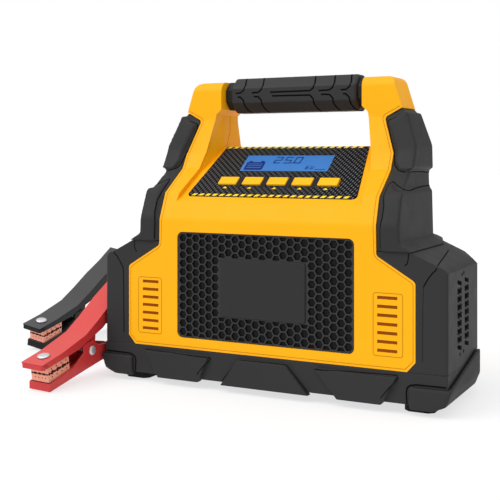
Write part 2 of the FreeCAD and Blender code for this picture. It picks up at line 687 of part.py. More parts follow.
def board_posts():
    """Standing posts on the floor of the tray, under the board's corners."""
    posts = []
    for side in (-1, 1):
        for end in (-1, 1):
            x = side * (BOARD_HALF_LENGTH - BOARD_POST_INSET)
            y = end * (BOARD_HALF_DEPTH - BOARD_POST_INSET)
            posts.append(prism(6, BOARD_POST_RADIUS, V(x, y, BASE_Z + COVER_WALL / 2), V(x, y, BOARD_Z)))
    return posts


def base_tray():
    tray = envelope(0).common(block(-FAR, FAR, -FAR, FAR, 0, BELT_TOP_Z)).cut(envelope(COVER_WALL))
    blocks = []
    for shares in BLOCK_SHARES:
        top_left, low_left, low_right, top_right = (share * BODY_HALF_WIDTH for share in shares)
        corners = plain([(top_left, BLOCK_TOP_Z), (low_left, BLOCK_BOTTOM_Z), (low_right, BLOCK_BOTTOM_Z),
                         (top_right, BLOCK_TOP_Z)])
        for back in (-1, 1):
            y0, y1 = sorted((back * (BODY_HALF_DEPTH - COVER_WALL), back * (BODY_HALF_DEPTH + BLOCK_PROUD)))
            blocks.append(xz_solid(corners, y0, y1))
    return fused([tray] + blocks + board_posts())


def right_corner_bumper(rear):
    """Wrap-round bumper at a lower corner on the right, standing proud of the tray and the cover."""
    under = xy_solid(inset(PLAN_OUTLINE, BUMPER_PROUD), -FAR, BASE_Z + 1)
    skin = envelope(-BUMPER_PROUD).cut(envelope(0)).cut(under)
    if rear:
        inner_x = REAR_BUMPER_SHARE * BODY_HALF_WIDTH
        return skin.common(block(inner_x, FAR, CORNER_END_Y + CORNER_GAP, FAR, 0, CORNER_TOP_FRONT_Z))
    top = plain([(-FAR, CORNER_TOP_FRONT_Z), (-BODY_HALF_DEPTH, CORNER_TOP_FRONT_Z),
                 (CORNER_END_Y - CORNER_RISE, CORNER_TOP_SIDE_Z), (FAR, CORNER_TOP_SIDE_Z), (FAR, -FAR),
                 (-FAR, -FAR)])
    corner = block(BODY_HALF_WIDTH - CORNER_REACH, FAR, -FAR, CORNER_END_Y, 0, FAR)
    return skin.common(corner).common(yz_solid(top, -FAR, FAR))


def feet():
    parts = []
    half = FOOT_SIZE / 2
    inner = half - FOOT_CORNER
    outline = [(-inner, -half), (inner, -half), (half, -inner), (half, inner), (inner, half), (-inner, half),
               (-half, inner), (-half, -inner)]
    foot_y = BODY_HALF_DEPTH - FOOT_DEPTH_INSET
    for x, y in ((BODY_HALF_WIDTH - FOOT_FRONT_INSET, -foot_y), (REAR_HALF_WIDTH - FOOT_REAR_INSET, foot_y)):
        foot = xy_solid(plain([(x + u, y + v) for u, v in outline]), 0, BASE_Z)
        parts += [foot, flipped(foot)]
    return Part.makeCompound(parts)


def pocket(u, v, across):
    """Corners of one six-sided pocket, clipped by the grille's border and the badge plate."""
    reach = across / math.sqrt(3)
    room = GRILLE_HALF_HEIGHT - GRILLE_BORDER
    badge_u = BADGE_HALF_WIDTH + BADGE_GAP
    badge_low = BADGE_LOW_Z - GRILLE_MIDDLE_Z - BADGE_GAP
    badge_high = BADGE_HIGH_Z - GRILLE_MIDDLE_Z + BADGE_GAP
    inside_u = abs(u) < badge_u
    inside_v = badge_low < v < badge_high
    if abs(v) > room or (inside_u and inside_v):
        return []
    corners = []
    for i in range(6):
        corner_u = u + reach * math.cos(math.radians(60 * i))
        corner_v = max(-room, min(room, v + reach * math.sin(math.radians(60 * i))))
        if inside_v:
            corner_u = max(corner_u, badge_u) if u > 0 else min(corner_u, -badge_u)
        elif inside_u:
            corner_v = max(corner_v, badge_high) if v > badge_high else min(corner_v, badge_low)
        if not corners or math.hypot(corner_u - corners[-1][0], corner_v - corners[-1][1]) > 1e-6:
            corners.append((corner_u, corner_v))
    return corners


def pocket_wires(across):
    column_step = POCKET_PITCH * math.sqrt(3) / 2
    columns = int((GRILLE_HALF_WIDTH - GRILLE_BORDER - across / math.sqrt(3)) / column_step)
    rows = int(GRILLE_HALF_HEIGHT / POCKET_PITCH) + 1
    wires = []
    for column in range(-columns, columns + 1):
        lift = 0.0 if column % 2 else POCKET_PITCH / 2
        for row in range(-rows, rows + 1):
            corners = pocket(column * column_step, row * POCKET_PITCH + lift, across)
            if len(corners) > 3:
                points = [V(u, GRILLE_FRONT_Y, GRILLE_MIDDLE_Z + v) for u, v in corners]
                wires.append(Part.makePolygon(points + points[:1]))
    return wires


def grille():
    """Honeycomb plate with blind pockets, held behind the shell by a flange."""
    outline = around(0, GRILLE_MIDDLE_Z, GRILLE_HALF_WIDTH, GRILLE_HALF_HEIGHT, GRILLE_CORNER)
    flange = around(0, GRILLE_MIDDLE_Z, GRILLE_HALF_WIDTH + GRILLE_FLANGE,
                    GRILLE_HALF_HEIGHT + GRILLE_FLANGE)
    flange_y = -BODY_HALF_DEPTH + WALL
    plate = xz_solid(outline, GRILLE_FRONT_Y + POCKET_DEPTH, GRILLE_FRONT_Y + GRILLE_THICKNESS)
    rim = xz_solid(flange, flange_y, flange_y + GRILLE_FLANGE_THICKNESS)
    border = face_of(outline, lambda u, v: V(u, GRILLE_FRONT_Y, v)).OuterWire
    face = Part.makeFace([border] + pocket_wires(POCKET_PITCH - POCKET_WEB), "Part::FaceMakerBullseye")
    return face.extrude(V(0, POCKET_DEPTH, 0)).fuse([plate, rim]).removeSplitter()


def badge_plate():
    corners = box_corners(-BADGE_HALF_WIDTH, BADGE_HALF_WIDTH, BADGE_LOW_Z, BADGE_HIGH_Z, BADGE_CORNER)
    return xz_solid(corners, GRILLE_FRONT_Y - BADGE_THICKNESS, GRILLE_FRONT_Y)


def control_panel():
    panel = panel_solid(panel_outline(0), -PANEL_SINK, PANEL_TOP)
    holes = [panel_solid(display_outline(0), -FAR, FAR)]
    for u in button_middles():
        holes.append(panel_solid(button_corners(u, BUTTON_GAP), -FAR, FAR))
    return panel.cut(holes)


def display_window():
    top = PANEL_TOP - WINDOW_SINK
    return panel_solid(display_outline(0), top - WINDOW_THICKNESS, top)


def display_module():
    return panel_solid(display_outline(WINDOW_SINK), -BOARD_DROP, PANEL_TOP - WINDOW_SINK - WINDOW_THICKNESS)


def control_board():
    """Board under the panel with a push switch behind each button, on four standoffs."""
    half_u, half_v = CONTROL_BOARD_HALF
    pieces = [panel_solid(around(0, 0, half_u, half_v), -BOARD_DROP - BOARD_THICKNESS, -BOARD_DROP)]
    reach = -PANEL_SINK - BUTTON_FLANGE - BUTTON_TRAVEL - SWITCH_CLEARANCE
    half_switch = SWITCH_SIZE / 2
    for u in button_middles():
        pieces.append(panel_solid(around(u, BUTTON_MID, half_switch, half_switch), -BOARD_DROP, reach))
    for side in (-1, 1):
        for end in (-1, 1):
            u, v = side * (half_u - STANDOFF_INSET), end * (half_v - STANDOFF_RADIUS)
            standoff = prism(6, STANDOFF_RADIUS, V(u, v, -BOARD_DROP), V(u, v, -PANEL_SINK))
            pieces.append(turned(standoff, PANEL_PLACE))
    return fused(pieces)


def button(u):
    """Key cap with a flange that keeps it behind the panel."""
    low = -PANEL_SINK - BUTTON_FLANGE
    key = panel_solid(button_corners(u, 0), low, PANEL_TOP + BUTTON_STANDS)
    flange = panel_solid(button_corners(u, BUTTON_FLANGE_REACH), low, -PANEL_SINK)
    return key.fuse(flange).removeSplitter()


def grip_bar(across, x0, x1):
    """Eight-sided bar along the grip's axis."""
    half = across / 2
    inner = half - GRIP_CHAMFER * across / GRIP_ACROSS
    outline = [(half, -inner), (half, inner), (inner, half), (-inner, half), (-half, inner), (-half, -inner),
               (-inner, -half), (inner, -half)]
    return yz_solid(plain([(u, v + GRIP_Z) for u, v in outline]), x0, x1)


def grip_sleeve():
    """Rubber sleeve with grooves round it and a seam along its front and back."""
    half = GRIP_HALF_LENGTH - COLLAR_LENGTH
    cuts = [prism(12, TUBE_RADIUS, V(-FAR, 0, GRIP_Z), V(FAR, 0, GRIP_Z))]
    for x in GRIP_GROOVES:
        ring = grip_bar(GRIP_ACROSS + 2, x, x + GRIP_GROOVE_WIDTH)
        cuts.append(ring.cut(grip_bar(GRIP_ACROSS - 2 * GRIP_GROOVE, x, x + GRIP_GROOVE_WIDTH)))
    for side in (-1, 1):
        y0, y1 = sorted((side * (GRIP_ACROSS / 2 - GRIP_GROOVE), side * GRIP_ACROSS))
        cuts.append(block(-half, half, y0, y1, GRIP_Z - GRIP_SEAM / 2, GRIP_Z + GRIP_SEAM / 2))
    return grip_bar(GRIP_ACROSS, -half, half).cut(cuts)


def grip_collars():
    parts = []
    bore = prism(12, TUBE_RADIUS, V(-FAR, 0, GRIP_Z), V(FAR, 0, GRIP_Z))
    for side in (-1, 1):
        x0, x1 = sorted((side * (GRIP_HALF_LENGTH - COLLAR_LENGTH), side * GRIP_HALF_LENGTH))
        parts.append(grip_bar(GRIP_ACROSS - 2 * COLLAR_STEP, x0, x1).cut(bore))
    return Part.makeCompound(parts)


def handle_tube():
    reach = TOP_HALF_WIDTH - TUBE_INSET
    outer = rod(TUBE_RADIUS, V(-reach, 0, GRIP_Z), V(reach, 0, GRIP_Z))
    return outer.cut(prism(8, TUBE_RADIUS - 2 * TUBE_WALL, V(-FAR, 0, GRIP_Z), V(FAR, 0, GRIP_Z)))


def on_board(x, y, size):
    z = BOARD_Z + BOARD_THICKNESS
    return block(x - size[0] / 2, x + size[0] / 2, y - size[1] / 2, y + size[1] / 2, z, z + size[2])


def main_board():
    return block(-BOARD_HALF_LENGTH, BOARD_HALF_LENGTH, -BOARD_HALF_DEPTH, BOARD_HALF_DEPTH, BOARD_Z,
                 BOARD_Z + BOARD_THICKNESS)


def transformer():
    """Laminated core with two windows, and the winding round its middle limb."""
    x, y = TRANSFORMER_PLACE
    z = BOARD_Z + BOARD_THICKNESS
    width, depth, height = TRANSFORMER_SIZE
    limb = width / 6
    windows = []
    for side in (-1, 1):
        x0, x1 = sorted((x + side * limb, x + side * 2 * limb))
        windows.append(block(x0, x1, -FAR, FAR, z + limb, z + height - limb))
    turns = xy_solid(around(x, y, 2 * limb - WINDING_GAP, depth / 2 + limb - WINDING_GAP, WINDING_CORNER),
                     z + limb + WINDING_GAP, z + height - limb - WINDING_GAP)
    core = on_board(x, y, TRANSFORMER_SIZE).cut(windows)
    return core, turns.cut(on_board(x, y, (2 * limb, depth, height)))


def heat_sink():
    x, y = HEAT_SINK_PLACE
    length, depth, height = HEAT_SINK_SIZE
    pitch = (depth - HEAT_SINK_FIN) / (HEAT_SINK_FINS - 1)
    first = y - (depth - HEAT_SINK_FIN) / 2
    pieces = [on_board(x, y, (length, depth, HEAT_SINK_BASE))]
    for i in range(HEAT_SINK_FINS):
        pieces.append(on_board(x, first + i * pitch, (length, HEAT_SINK_FIN, height)))
    return fused(pieces)


def capacitors():
    cans = []
    for x in CAPACITOR_X:
        foot = V(x, CAPACITOR_Y, BOARD_Z + BOARD_THICKNESS)
        cans.append(prism(12, CAPACITOR_RADIUS, foot, foot + V(0, 0, CAPACITOR_HEIGHT)))
    return Part.makeCompound(cans)


def at_board_end(y, size):
    return on_board(BOARD_HALF_LENGTH - BOARD_END_GAP, y, size)


def on_fan_axis(x):
    return V(x, SIDE_VENT_Y, SIDE_VENT_Z)


def fan_frame():
    """Square fan frame against the inside of the left cover, with its hub on four arms."""
    x0 = -BODY_HALF_WIDTH + COVER_WALL
    x1 = x0 + FAN_DEPTH
    arm_x = x1 - FAN_ARM_THICKNESS
    half = FAN_SIZE / 2
    frame = yz_solid(around(SIDE_VENT_Y, SIDE_VENT_Z, half, half, FAN_CORNER), x0, x1)
    bore = prism(20, half - FAN_RIM, on_fan_axis(x0 - 1), on_fan_axis(x1 + 1))
    reach = half - FAN_RIM / 2
    arms = [yz_solid(around(SIDE_VENT_Y, SIDE_VENT_Z, reach, FAN_ARM / 2), arm_x, x1),
            yz_solid(around(SIDE_VENT_Y, SIDE_VENT_Z, FAN_ARM / 2, reach), arm_x, x1)]
    hub = prism(12, FAN_HUB_RADIUS, on_fan_axis(arm_x), on_fan_axis(x1))
    pin = rod(FAN_PIN_RADIUS, on_fan_axis(x0 + FAN_PIN_START), on_fan_axis(x1 - FAN_ARM_THICKNESS / 2))
    return fused([frame.cut(bore), hub, pin] + arms)


def fan_rotor():
    x0 = -BODY_HALF_WIDTH + COVER_WALL + FAN_END_GAP
    x1 = -BODY_HALF_WIDTH + COVER_WALL + FAN_DEPTH - FAN_ARM_THICKNESS - FAN_ARM_GAP
    hub = prism(12, FAN_HUB_RADIUS - FAN_ARM_GAP, on_fan_axis(x0), on_fan_axis(x1))
    reach = FAN_SIZE / 2 - FAN_RIM - FAN_TIP_GAP
    half = (x1 - x0) * 0.44
    thin = FAN_BLADE_THICKNESS / 2
    blades = []
    for i in range(FAN_BLADES):
        blade = block(-half, half, -thin, thin, FAN_HUB_RADIUS * 0.7, reach)
        blade.rotate(V(0, 0, 0), V(0, 0, 1), FAN_BLADE_TURN)
        blade.translate(on_fan_axis((x0 + x1) / 2))
        blade.rotate(on_fan_axis(x0), V(1, 0, 0), 360 * i / FAN_BLADES)
        blades.append(blade)
    bore = rod(FAN_PIN_RADIUS + RUNNING_FIT, on_fan_axis(x0 - 1), on_fan_axis(x1 + 1))
    return hub.fuse(blades).cut(bore).removeSplitter()


def mains_inlet():
    """Flanged socket for a mains lead, with three flat pins, in the rear shell."""
    x, z = INLET_PLACE
    half_x, half_z = INLET_OPENING[0] / 2, INLET_OPENING[1] / 2
    wall = BODY_HALF_DEPTH
    deep = wall - INLET_DEPTH
    flange = xz_solid(around(x, z, half_x + INLET_FLANGE[0], half_z + INLET_FLANGE[1], INLET_CORNER),
                      wall, wall + INLET_FLANGE_THICKNESS)
    body = xz_solid(around(x, z, half_x + INLET_WALL, half_z + INLET_WALL), deep - INLET_WALL, wall)
    recess = xz_solid(around(x, z, half_x, half_z), deep, FAR)
    pins = []
    for u, v in INLET_PINS:
        pins.append(xz_solid(around(x + u, z + v, *INLET_PIN_HALF), deep - INLET_WALL / 2,
                             wall - INLET_PIN_SINK))
    return fused([flange.fuse(body).cut(recess)] + pins)


def inlet_hole():
    x, z = INLET_PLACE
    grown = INLET_WALL + FIT
    corners = around(x, z, INLET_OPENING[0] / 2 + grown, INLET_OPENING[1] / 2 + grown)
    return xz_solid(corners, BODY_HALF_DEPTH - 2 * WALL, FAR)


def gland(x):
    """Bushing of one clamp lead, held through the rear shell by a six-sided nut."""
    foot = V(x, BODY_HALF_DEPTH, GLAND_Z)
    outward = V(0, 1, 0)
    end = foot + outward * GLAND_NUT
    neck = prism(8, GLAND_RADIUS - FIT, foot - outward * GLAND_NECK, foot)
    nut = prism(6, GLAND_RADIUS + GLAND_RIM, foot, end)
    bore = prism(8, LEAD_RADIUS, end - outward * GLAND_BORE, end + outward)
    return nut.fuse(neck).cut(bore).removeSplitter()


def gland_hole(x):
    return prism(8, GLAND_RADIUS, V(x, 0, GLAND_Z), V(x, FAR, GLAND_Z))


def clamp_frame(place, turn):
    """Placement of a clamp: its own X runs from the nose to the tail, Y to its left and Z up."""
    yaw, pitch, roll = (math.radians(angle) for angle in turn)
    along = V(math.sin(yaw) * math.cos(pitch), math.cos(yaw) * math.cos(pitch), math.sin(pitch))
    level = V(-math.cos(yaw), math.sin(yaw), 0)
    upward = along.cross(level)
    left = level * math.cos(roll) + upward * math.sin(roll)
    high = upward * math.cos(roll) - level * math.sin(roll)
    return FreeCAD.Placement(FreeCAD.Matrix(
        along.x, left.x, high.x, place[0], along.y, left.y, high.y, place[1],
        along.z, left.z, high.z, place[2], 0, 0, 0, 1))


def across_clamp(radius):
    """Bar through both sides of a clamp, on the pivot's axis."""
    return prism(12, radius, V(PIVOT_L, -FAR, PIVOT_H), V(PIVOT_L, FAR, PIVOT_H))


def through_nose(radius, low, high, sides=8):
    middle = CLAMP_WIDTH / 2
    return prism(sides, radius, V(NOSE_RIVET_L, middle, low), V(NOSE_RIVET_L, middle, high))


def clamp_upper_handle():
    """Channel-shaped upper handle, open below, with two ears on the pivot."""
    sheet = CLAMP_SHEET
    top = plain(list(UPPER_TOP) + [(CLAMP_LENGTH, UPPER_TAIL_H)])
    under = plain([(CLAMP_LENGTH + 1, UPPER_TAIL_H - UPPER_TAIL_DEPTH)] + list(UPPER_UNDER))
    below = plain([(CLAMP_LENGTH, -FAR), (UPPER_TOP[0][0], -FAR)])
    outer = xz_solid(top + under, 0, CLAMP_WIDTH)
    inner = xz_solid(inset(top + below, sheet), sheet, CLAMP_WIDTH - sheet)
    ears = []
    for y0 in (sheet + EAR_GAP, CLAMP_WIDTH - 2 * sheet - EAR_GAP):
        ears.append(xz_solid(plain(UPPER_EAR), y0, y0 + sheet))
        ears.append(prism(10, UPPER_EAR_RADIUS, V(PIVOT_L, y0, PIVOT_H), V(PIVOT_L, y0 + sheet, PIVOT_H)))
    holes = [across_clamp(RIVET_RADIUS + RUNNING_FIT), through_nose(NOSE_RIVET_RADIUS, JAW_MEET, FAR)]
    return outer.cut(inner).fuse(ears).cut(holes).removeSplitter()


def clamp_lower_handle():
    """Channel-shaped lower handle, open above, with its ears outside those of the upper one."""
    sheet = CLAMP_SHEET
    tail_l, tail_h = LOWER_TAIL
    bottom = plain([LOWER_TAIL] + list(LOWER_BOTTOM))
    over = plain(list(LOWER_OVER) + [(tail_l + 1, tail_h + LOWER_TAIL_DEPTH)])
    above = plain([(LOWER_BOTTOM[-1][0], FAR), (tail_l, FAR)])
    outer = xz_solid(bottom + over, 0, CLAMP_WIDTH)
    inner = xz_solid(inset(bottom + above, sheet), sheet, CLAMP_WIDTH - sheet)
    open_tail = block(tail_l - 2 * sheet, FAR, sheet, CLAMP_WIDTH - sheet, tail_h + 3 * sheet, FAR)
    return outer.cut([inner, open_tail, across_clamp(RIVET_RADIUS)]).removeSplitter()


def clamp_jaw(low, high, closed_below):
    """Pressed copper jaw: a box open at the back, toothed along the edge where the jaws meet."""
    side = CLAMP_SHEET + JAW_SIDE_GAP
    inner_side = side + JAW_SHEET
    shell = block(JAW_FRONT, JAW_BACK, side, CLAMP_WIDTH - side, low, high)
    space_low = low + JAW_SHEET if closed_below else -FAR
    space_high = FAR if closed_below else high - JAW_SHEET
    cuts = [block(JAW_FRONT + JAW_SHEET, FAR, inner_side, CLAMP_WIDTH - inner_side, space_low, space_high)]
    for l in JAW_TEETH:
        cuts.append(prism(6, JAW_TOOTH, V(l, -1, JAW_MEET), V(l, CLAMP_WIDTH + 1, JAW_MEET)))
    for w in JAW_NOTCHES:
        before, behind = JAW_FRONT - 1, JAW_FRONT + 2 * JAW_SHEET
        cuts.append(prism(6, JAW_NOTCH, V(before, w, JAW_MEET), V(behind, w, JAW_MEET)))
    return shell.cut(cuts)


def clamp_lower_jaw():
    return clamp_jaw(CLAMP_SHEET, JAW_MEET - JAW_MEET_GAP, True)


def clamp_upper_jaw():
    hole = through_nose(NOSE_RIVET_RADIUS, JAW_MEET, FAR)
    return clamp_jaw(JAW_MEET + JAW_MEET_GAP, JAW_TOP, False).cut(hole)


def clamp_nose_rivet():
    """Domed rivet that holds the upper jaw under the nose."""
    inside = JAW_TOP - JAW_SHEET
    step = NOSE_RIVET_STEP
    return fused([
        through_nose(NOSE_RIVET_RADIUS, inside, NOSE_TOP),
        through_nose(NOSE_RIVET_HEAD, NOSE_TOP, NOSE_TOP + step, 12),
        through_nose(NOSE_RIVET_HEAD * 0.7, NOSE_TOP + step, NOSE_TOP + 1.6 * step, 12),
        through_nose(NOSE_RIVET_RADIUS + JAW_SHEET, inside - step, inside)])


def clamp_pivot_rivet():
    shaft = rod(RIVET_RADIUS, V(PIVOT_L, 0, PIVOT_H), V(PIVOT_L, CLAMP_WIDTH, PIVOT_H))
    heads = []
    for y0 in (-RIVET_HEAD_THICKNESS, CLAMP_WIDTH):
        y1 = y0 + RIVET_HEAD_THICKNESS
        heads.append(prism(12, RIVET_HEAD, V(PIVOT_L, y0, PIVOT_H), V(PIVOT_L, y1, PIVOT_H)))
    return fused([shaft] + heads)


def clamp_spring():
    """Torsion spring round the pivot rivet, with a leg along each handle, of square wire."""
    start_w = (CLAMP_WIDTH - SPRING_TURNS * SPRING_PITCH) / 2
    sections = []
    for i in range(-1, SPRING_STEPS + 2):
        step = max(0, min(SPRING_STEPS, i))
        turn = SPRING_TURNS * step / SPRING_STEPS
        angle = -2 * math.pi * turn - math.pi / 2
        outward = V(math.cos(angle), 0, math.sin(angle))
        forward = V(math.sin(angle), 0, -math.cos(angle))
        middle = V(PIVOT_L, start_w + SPRING_PITCH * turn, PIVOT_H) + outward * SPRING_RADIUS
        middle = middle + forward * (SPRING_LEG * (i - step))
        sideways = V(0, 1, 0)
        ring = []
        for a, b in ((1, 1), (-1, 1), (-1, -1), (1, -1), (1, 1)):
            ring.append(middle + outward * (a * SPRING_WIRE) + sideways * (b * SPRING_WIRE))
        sections.append(Part.makePolygon(ring))
    return Part.makeLoft(sections, True, True)


RED_FRAME = clamp_frame(RED_CLAMP_NOSE, RED_CLAMP_TURN)
BLACK_FRAME = clamp_frame(BLACK_CLAMP_NOSE, BLACK_CLAMP_TURN)

front_shell, rear_shell = main_housing()
save("front_shell", front_shell)
save("rear_shell", rear_shell.cut([inlet_hole()] + [gland_hole(x) for x in GLAND_X]))
for name, right in (("side_cover", right_side_cover()), ("leg_pad", right_leg_pad()),
                    ("front_corner_bumper", right_corner_bumper(False)),
                    ("rear_corner_bumper", right_corner_bumper(True))):
    save("right_" + name, right)
    save("left_" + name, flipped(right))
save("base_tray", base_tray())
save("rubber_feet", feet())
save("front_grille", grille())
save("badge_plate", badge_plate())
save("control_panel", control_panel())
save("display_window", display_window())
save("display_module", display_module())
save("control_board", control_board())
for number, u in enumerate(button_middles(), 1):
    save("button_%d" % number, button(u))
save("grip_sleeve", grip_sleeve())
save("grip_collars", grip_collars())
save("handle_tube", handle_tube())
save("housing_screws", screws())
save("main_board", main_board())
core, winding = transformer()
save("transformer_core", core)
save("transformer_winding", winding)
save("heat_sink", heat_sink())
save("capacitors", capacitors())
save("film_capacitor", at_board_end(FILM_CAPACITOR_Y, FILM_CAPACITOR_SIZE))
save("terminal_block", at_board_end(TERMINAL_BLOCK_Y, TERMINAL_BLOCK_SIZE))
save("fan_frame", fan_frame())
save("fan_rotor", fan_rotor())
save("mains_inlet", mains_inlet())
save("lead_glands", Part.makeCompound([gland(x) for x in GLAND_X]))
for colour, frame in (("red", RED_FRAME), ("black", BLACK_FRAME)):
    save(colour + "_clamp_upper_handle", turned(clamp_upper_handle(), frame))
    save(colour + "_clamp_lower_handle", turned(clamp_lower_handle(), frame))
    save(colour + "_clamp_upper_jaw", turned(clamp_upper_jaw(), frame))
    save(colour + "_clamp_lower_jaw", turned(clamp_lower_jaw(), frame))
    save(colour + "_clamp_nose_rivet", turned(clamp_nose_rivet(), frame))
for name, make in (("clamp_pivot_rivets", clamp_pivot_rivet), ("clamp_springs", clamp_spring)):
    save(name, Part.makeCompound([turned(make(), frame) for frame in (RED_FRAME, BLACK_FRAME)]))
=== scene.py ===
import json
import math
from contextlib import contextmanager

import bmesh
import bpy
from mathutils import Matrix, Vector
from mathutils.bvhtree import BVHTree


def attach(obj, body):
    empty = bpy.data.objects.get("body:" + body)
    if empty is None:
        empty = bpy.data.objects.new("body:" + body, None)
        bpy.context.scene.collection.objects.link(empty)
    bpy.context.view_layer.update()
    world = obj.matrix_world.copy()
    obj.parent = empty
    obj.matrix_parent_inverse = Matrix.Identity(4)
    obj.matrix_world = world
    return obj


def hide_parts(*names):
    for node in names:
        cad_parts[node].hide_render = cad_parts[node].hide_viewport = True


# Looks of the battery charger. Places are in millimetres of the CAD frame where no other unit is named.

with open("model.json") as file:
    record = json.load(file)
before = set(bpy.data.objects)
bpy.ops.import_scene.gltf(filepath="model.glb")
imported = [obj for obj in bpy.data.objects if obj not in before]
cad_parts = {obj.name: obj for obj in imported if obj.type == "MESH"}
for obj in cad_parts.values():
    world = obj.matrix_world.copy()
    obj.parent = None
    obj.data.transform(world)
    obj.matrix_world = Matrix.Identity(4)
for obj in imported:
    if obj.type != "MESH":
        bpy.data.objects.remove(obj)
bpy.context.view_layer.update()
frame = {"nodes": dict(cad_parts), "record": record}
MM = 0.001

# Camera of the photograph: place in metres, turn about the upright axis, lens and sensor in millimetres
CAMERA_PLACE = Vector((0.349807, -0.771443, 0.193269))
CAMERA_YAW = math.radians(27.292)
CAMERA_LENS = 69.48
CAMERA_SENSOR = 36.0
CAMERA_SHIFT_Y = -0.1851

# Light: the sky's strength for diffuse rays, its strength in reflections at the horizon and from a height of
# REFLECTED_RISE, and soft suns as (name, direction, strength, spread in degrees)
SKY = 0.75
REFLECTED_LOW = 0.25
REFLECTED_HIGH = 0.9
REFLECTED_RISE = 0.8
LAMPS = (("key", (0.45, 0.60, -0.75), 1.3, 45.0), ("top", (-0.2, 0.25, -1.0), 0.5, 60.0))

# Floor: side and middle in metres, the greys of its paper, and the glow that makes it white
FLOOR_SIZE = 14.0
FLOOR_MIDDLE = (0, 2.0, -0.0002)
FLOOR_DARK = (0.30, 0.30, 0.30, 1)
FLOOR_LIGHT = (0.32, 0.32, 0.32, 1)
FLOOR_GLOW = 0.68

# Colours as they are seen on the photograph
YELLOW = (249, 173, 10)
AMBER = (190, 122, 18)
# Painted shade on the floors of the front's blind slots
SLOT_PAINTED_SHADE = (140, 72, 8)
BLACK_PLASTIC = (46, 46, 47)
BUMPER_BLACK = (47, 47, 48)
GRIP_BLACK = (43, 43, 44)
# Black of the grooves, and of the painted shadow below the clamps' jaws
GROOVE_AND_SHADOW_BLACK = (8, 8, 9)
GRILLE_RIM = (52, 52, 53)
# Painted shade deep in the grille's cells
GRILLE_PAINTED_SHADE = (12, 12, 13)
PANEL_BLACK = (8, 8, 9)
PANEL_DASH = (112, 112, 116)
HAZARD_YELLOW = (250, 214, 30)
DISPLAY_BLUE = (62, 117, 184)
DISPLAY_MARK = (14, 40, 110)
COPPER = (236, 158, 134)
RED_PAINT = (214, 74, 71)
BLACK_PAINT = (70, 70, 71)
# Painted shade: darker colours for the clamps' coatings on their upright sides
BLACK_SIDE_PAINTED_SHADE = (14, 14, 15)
RED_SIDE_PAINTED_SHADE = (196, 52, 54)
# Painted shade in the gaps and holes of the clamps' copper jaws
TOOTH_PAINTED_SHADE = (58, 26, 18)

# Depth of a surface's grain in metres, and the panel's dashes: lean, pitches in metres, share of each pitch
GRAIN_DEPTH = 0.00006
DASH_LEAN = 0.35
DASH_COLUMN = 0.0027
DASH_ROW = 0.0038
DASH_WIDTH = 0.3
DASH_LENGTH = 0.58

# Control panel in the CAD frame: the console's slope and its middle, how far up it the panel lies, and what
# is on the panel, with u across it and v up its slope
CONSOLE_RISE = 49.3
CONSOLE_RUN = 65.0
CONSOLE_MIDDLE_Y = -38.0
CONSOLE_MIDDLE_Z = 178.15
PANEL_UP = 5.1
SLOPE = math.atan2(CONSOLE_RISE, CONSOLE_RUN)
PANEL_MIDDLE = Vector((0, CONSOLE_MIDDLE_Y + PANEL_UP * math.cos(SLOPE),
                       CONSOLE_MIDDLE_Z + PANEL_UP * math.sin(SLOPE)))
PANEL_TOP = 0.8
WINDOW_TOP = 0.4
PRINT_SINK = 0.1
BUTTON_COUNT = 5
BUTTON_PITCH = 23.05
BUTTON_MIDDLE_U = 1.5
BUTTON_U = tuple(BUTTON_MIDDLE_U + (i - (BUTTON_COUNT - 1) / 2) * BUTTON_PITCH for i in range(BUTTON_COUNT))
BUTTON_V = -14.7
BUTTON_HALF_WIDTH = 9.4
BUTTON_HALF_LENGTH = 4.7
BUTTON_SLIM = 0.93
BUTTON_LOWER = 0.6

# Hazard stripes along the panel's upper and lower edge, as (name, low and high v, half width)
STRIPE_ROWS = (("top", 32.2, 34.5, 67.8), ("bottom", -34.5, -32.0, 73.5))
STRIPE_PITCH = 6.6
STRIPE_WIDTH = 3.6
STRIPE_LEAN = 1.8

# Front in the CAD frame: where the grille's cells turn dark with painted shade, and the blind slots beside it
FRONT_Y = -73.3
INTO_FRONT = (0, 1, 0)
CELL_SHADE_START = 1.3
CELL_SHADE_END = 2.6
SLOT_COUNT = 7
SLOT_PITCH = 6.7
SLOT_FIRST_Z = 45.2
SLOT_LOW = 0.15
SLOT_HIGH = 2.35
SLOT_INNER_X = 98.8
SLOT_OUTER_X = 114.5

# Sides in the CAD frame: outer face, round vent with its dots as (y, z), and the leg pads' thin lower rim
SIDE_X = 153.5
VENT_Y = -30.1
VENT_Z = 72.4
VENT_ROWS = 9
VENT_PITCH = 6.2
VENT_COLUMN = 10.5
VENT_STEP = ((0.0, 1.2), (6.0, 0.2), (6.0, 1.9), (0.0, 2.9))
VENT_DOTS = ((-33.5, 102.6), (-28.4, 103.8), (-39.3, 42.1), (-29.0, 43.0))
VENT_DOT_RADIUS = 1.5
PAD_RIM_X = 127.8
PAD_RIM_Z = 122.0

# Grip in the CAD frame, and its stepped grooves as (x, length)
GRIP_Z = 248.2
GRIP_HALF = 15.5
GRIP_INNER = 6.5
GRIP_BORE = 9.3
GRIP_HALF_LENGTH = 59.4
GRIP_END = 1.6
GRIP_END_SHARE = 0.90
GRIP_GROOVES = ((-46.5, 8.0), (-29.0, 9.5), (20.5, 41.0), (38.5, 13.0), (53.6, 8.0))

# Clamps: place and turn (yaw, pitch, roll) as in the CAD frame, and their parts' places
CLAMPS = {
    "red": ((-159.2, -139.8, 0.8), (0.9, 11.5, 2.5)),
    "black": ((-275.4, -5.6, 0.62), (2.3, 11.8, 10.0)),
}
CLAMP_WIDTH = 22.0
NOSE_RIVET_L = 6.0
PIVOT_L = 56.0
PIVOT_H = 13.7
COIL_TURNS = 2.5
COIL_PITCH = 2.4
COIL_RADIUS = 3.6
COIL_WIRE_RADIUS = 0.85
COIL_LEG = 8.0
COIL_STEPS = 50
JAW_MEET = 14.2
JAW_GAP = 0.1
JAW_HOLE_DEPTH = 3.4
LIP_LOW = 21.1
LIP_HIGH = 25.7

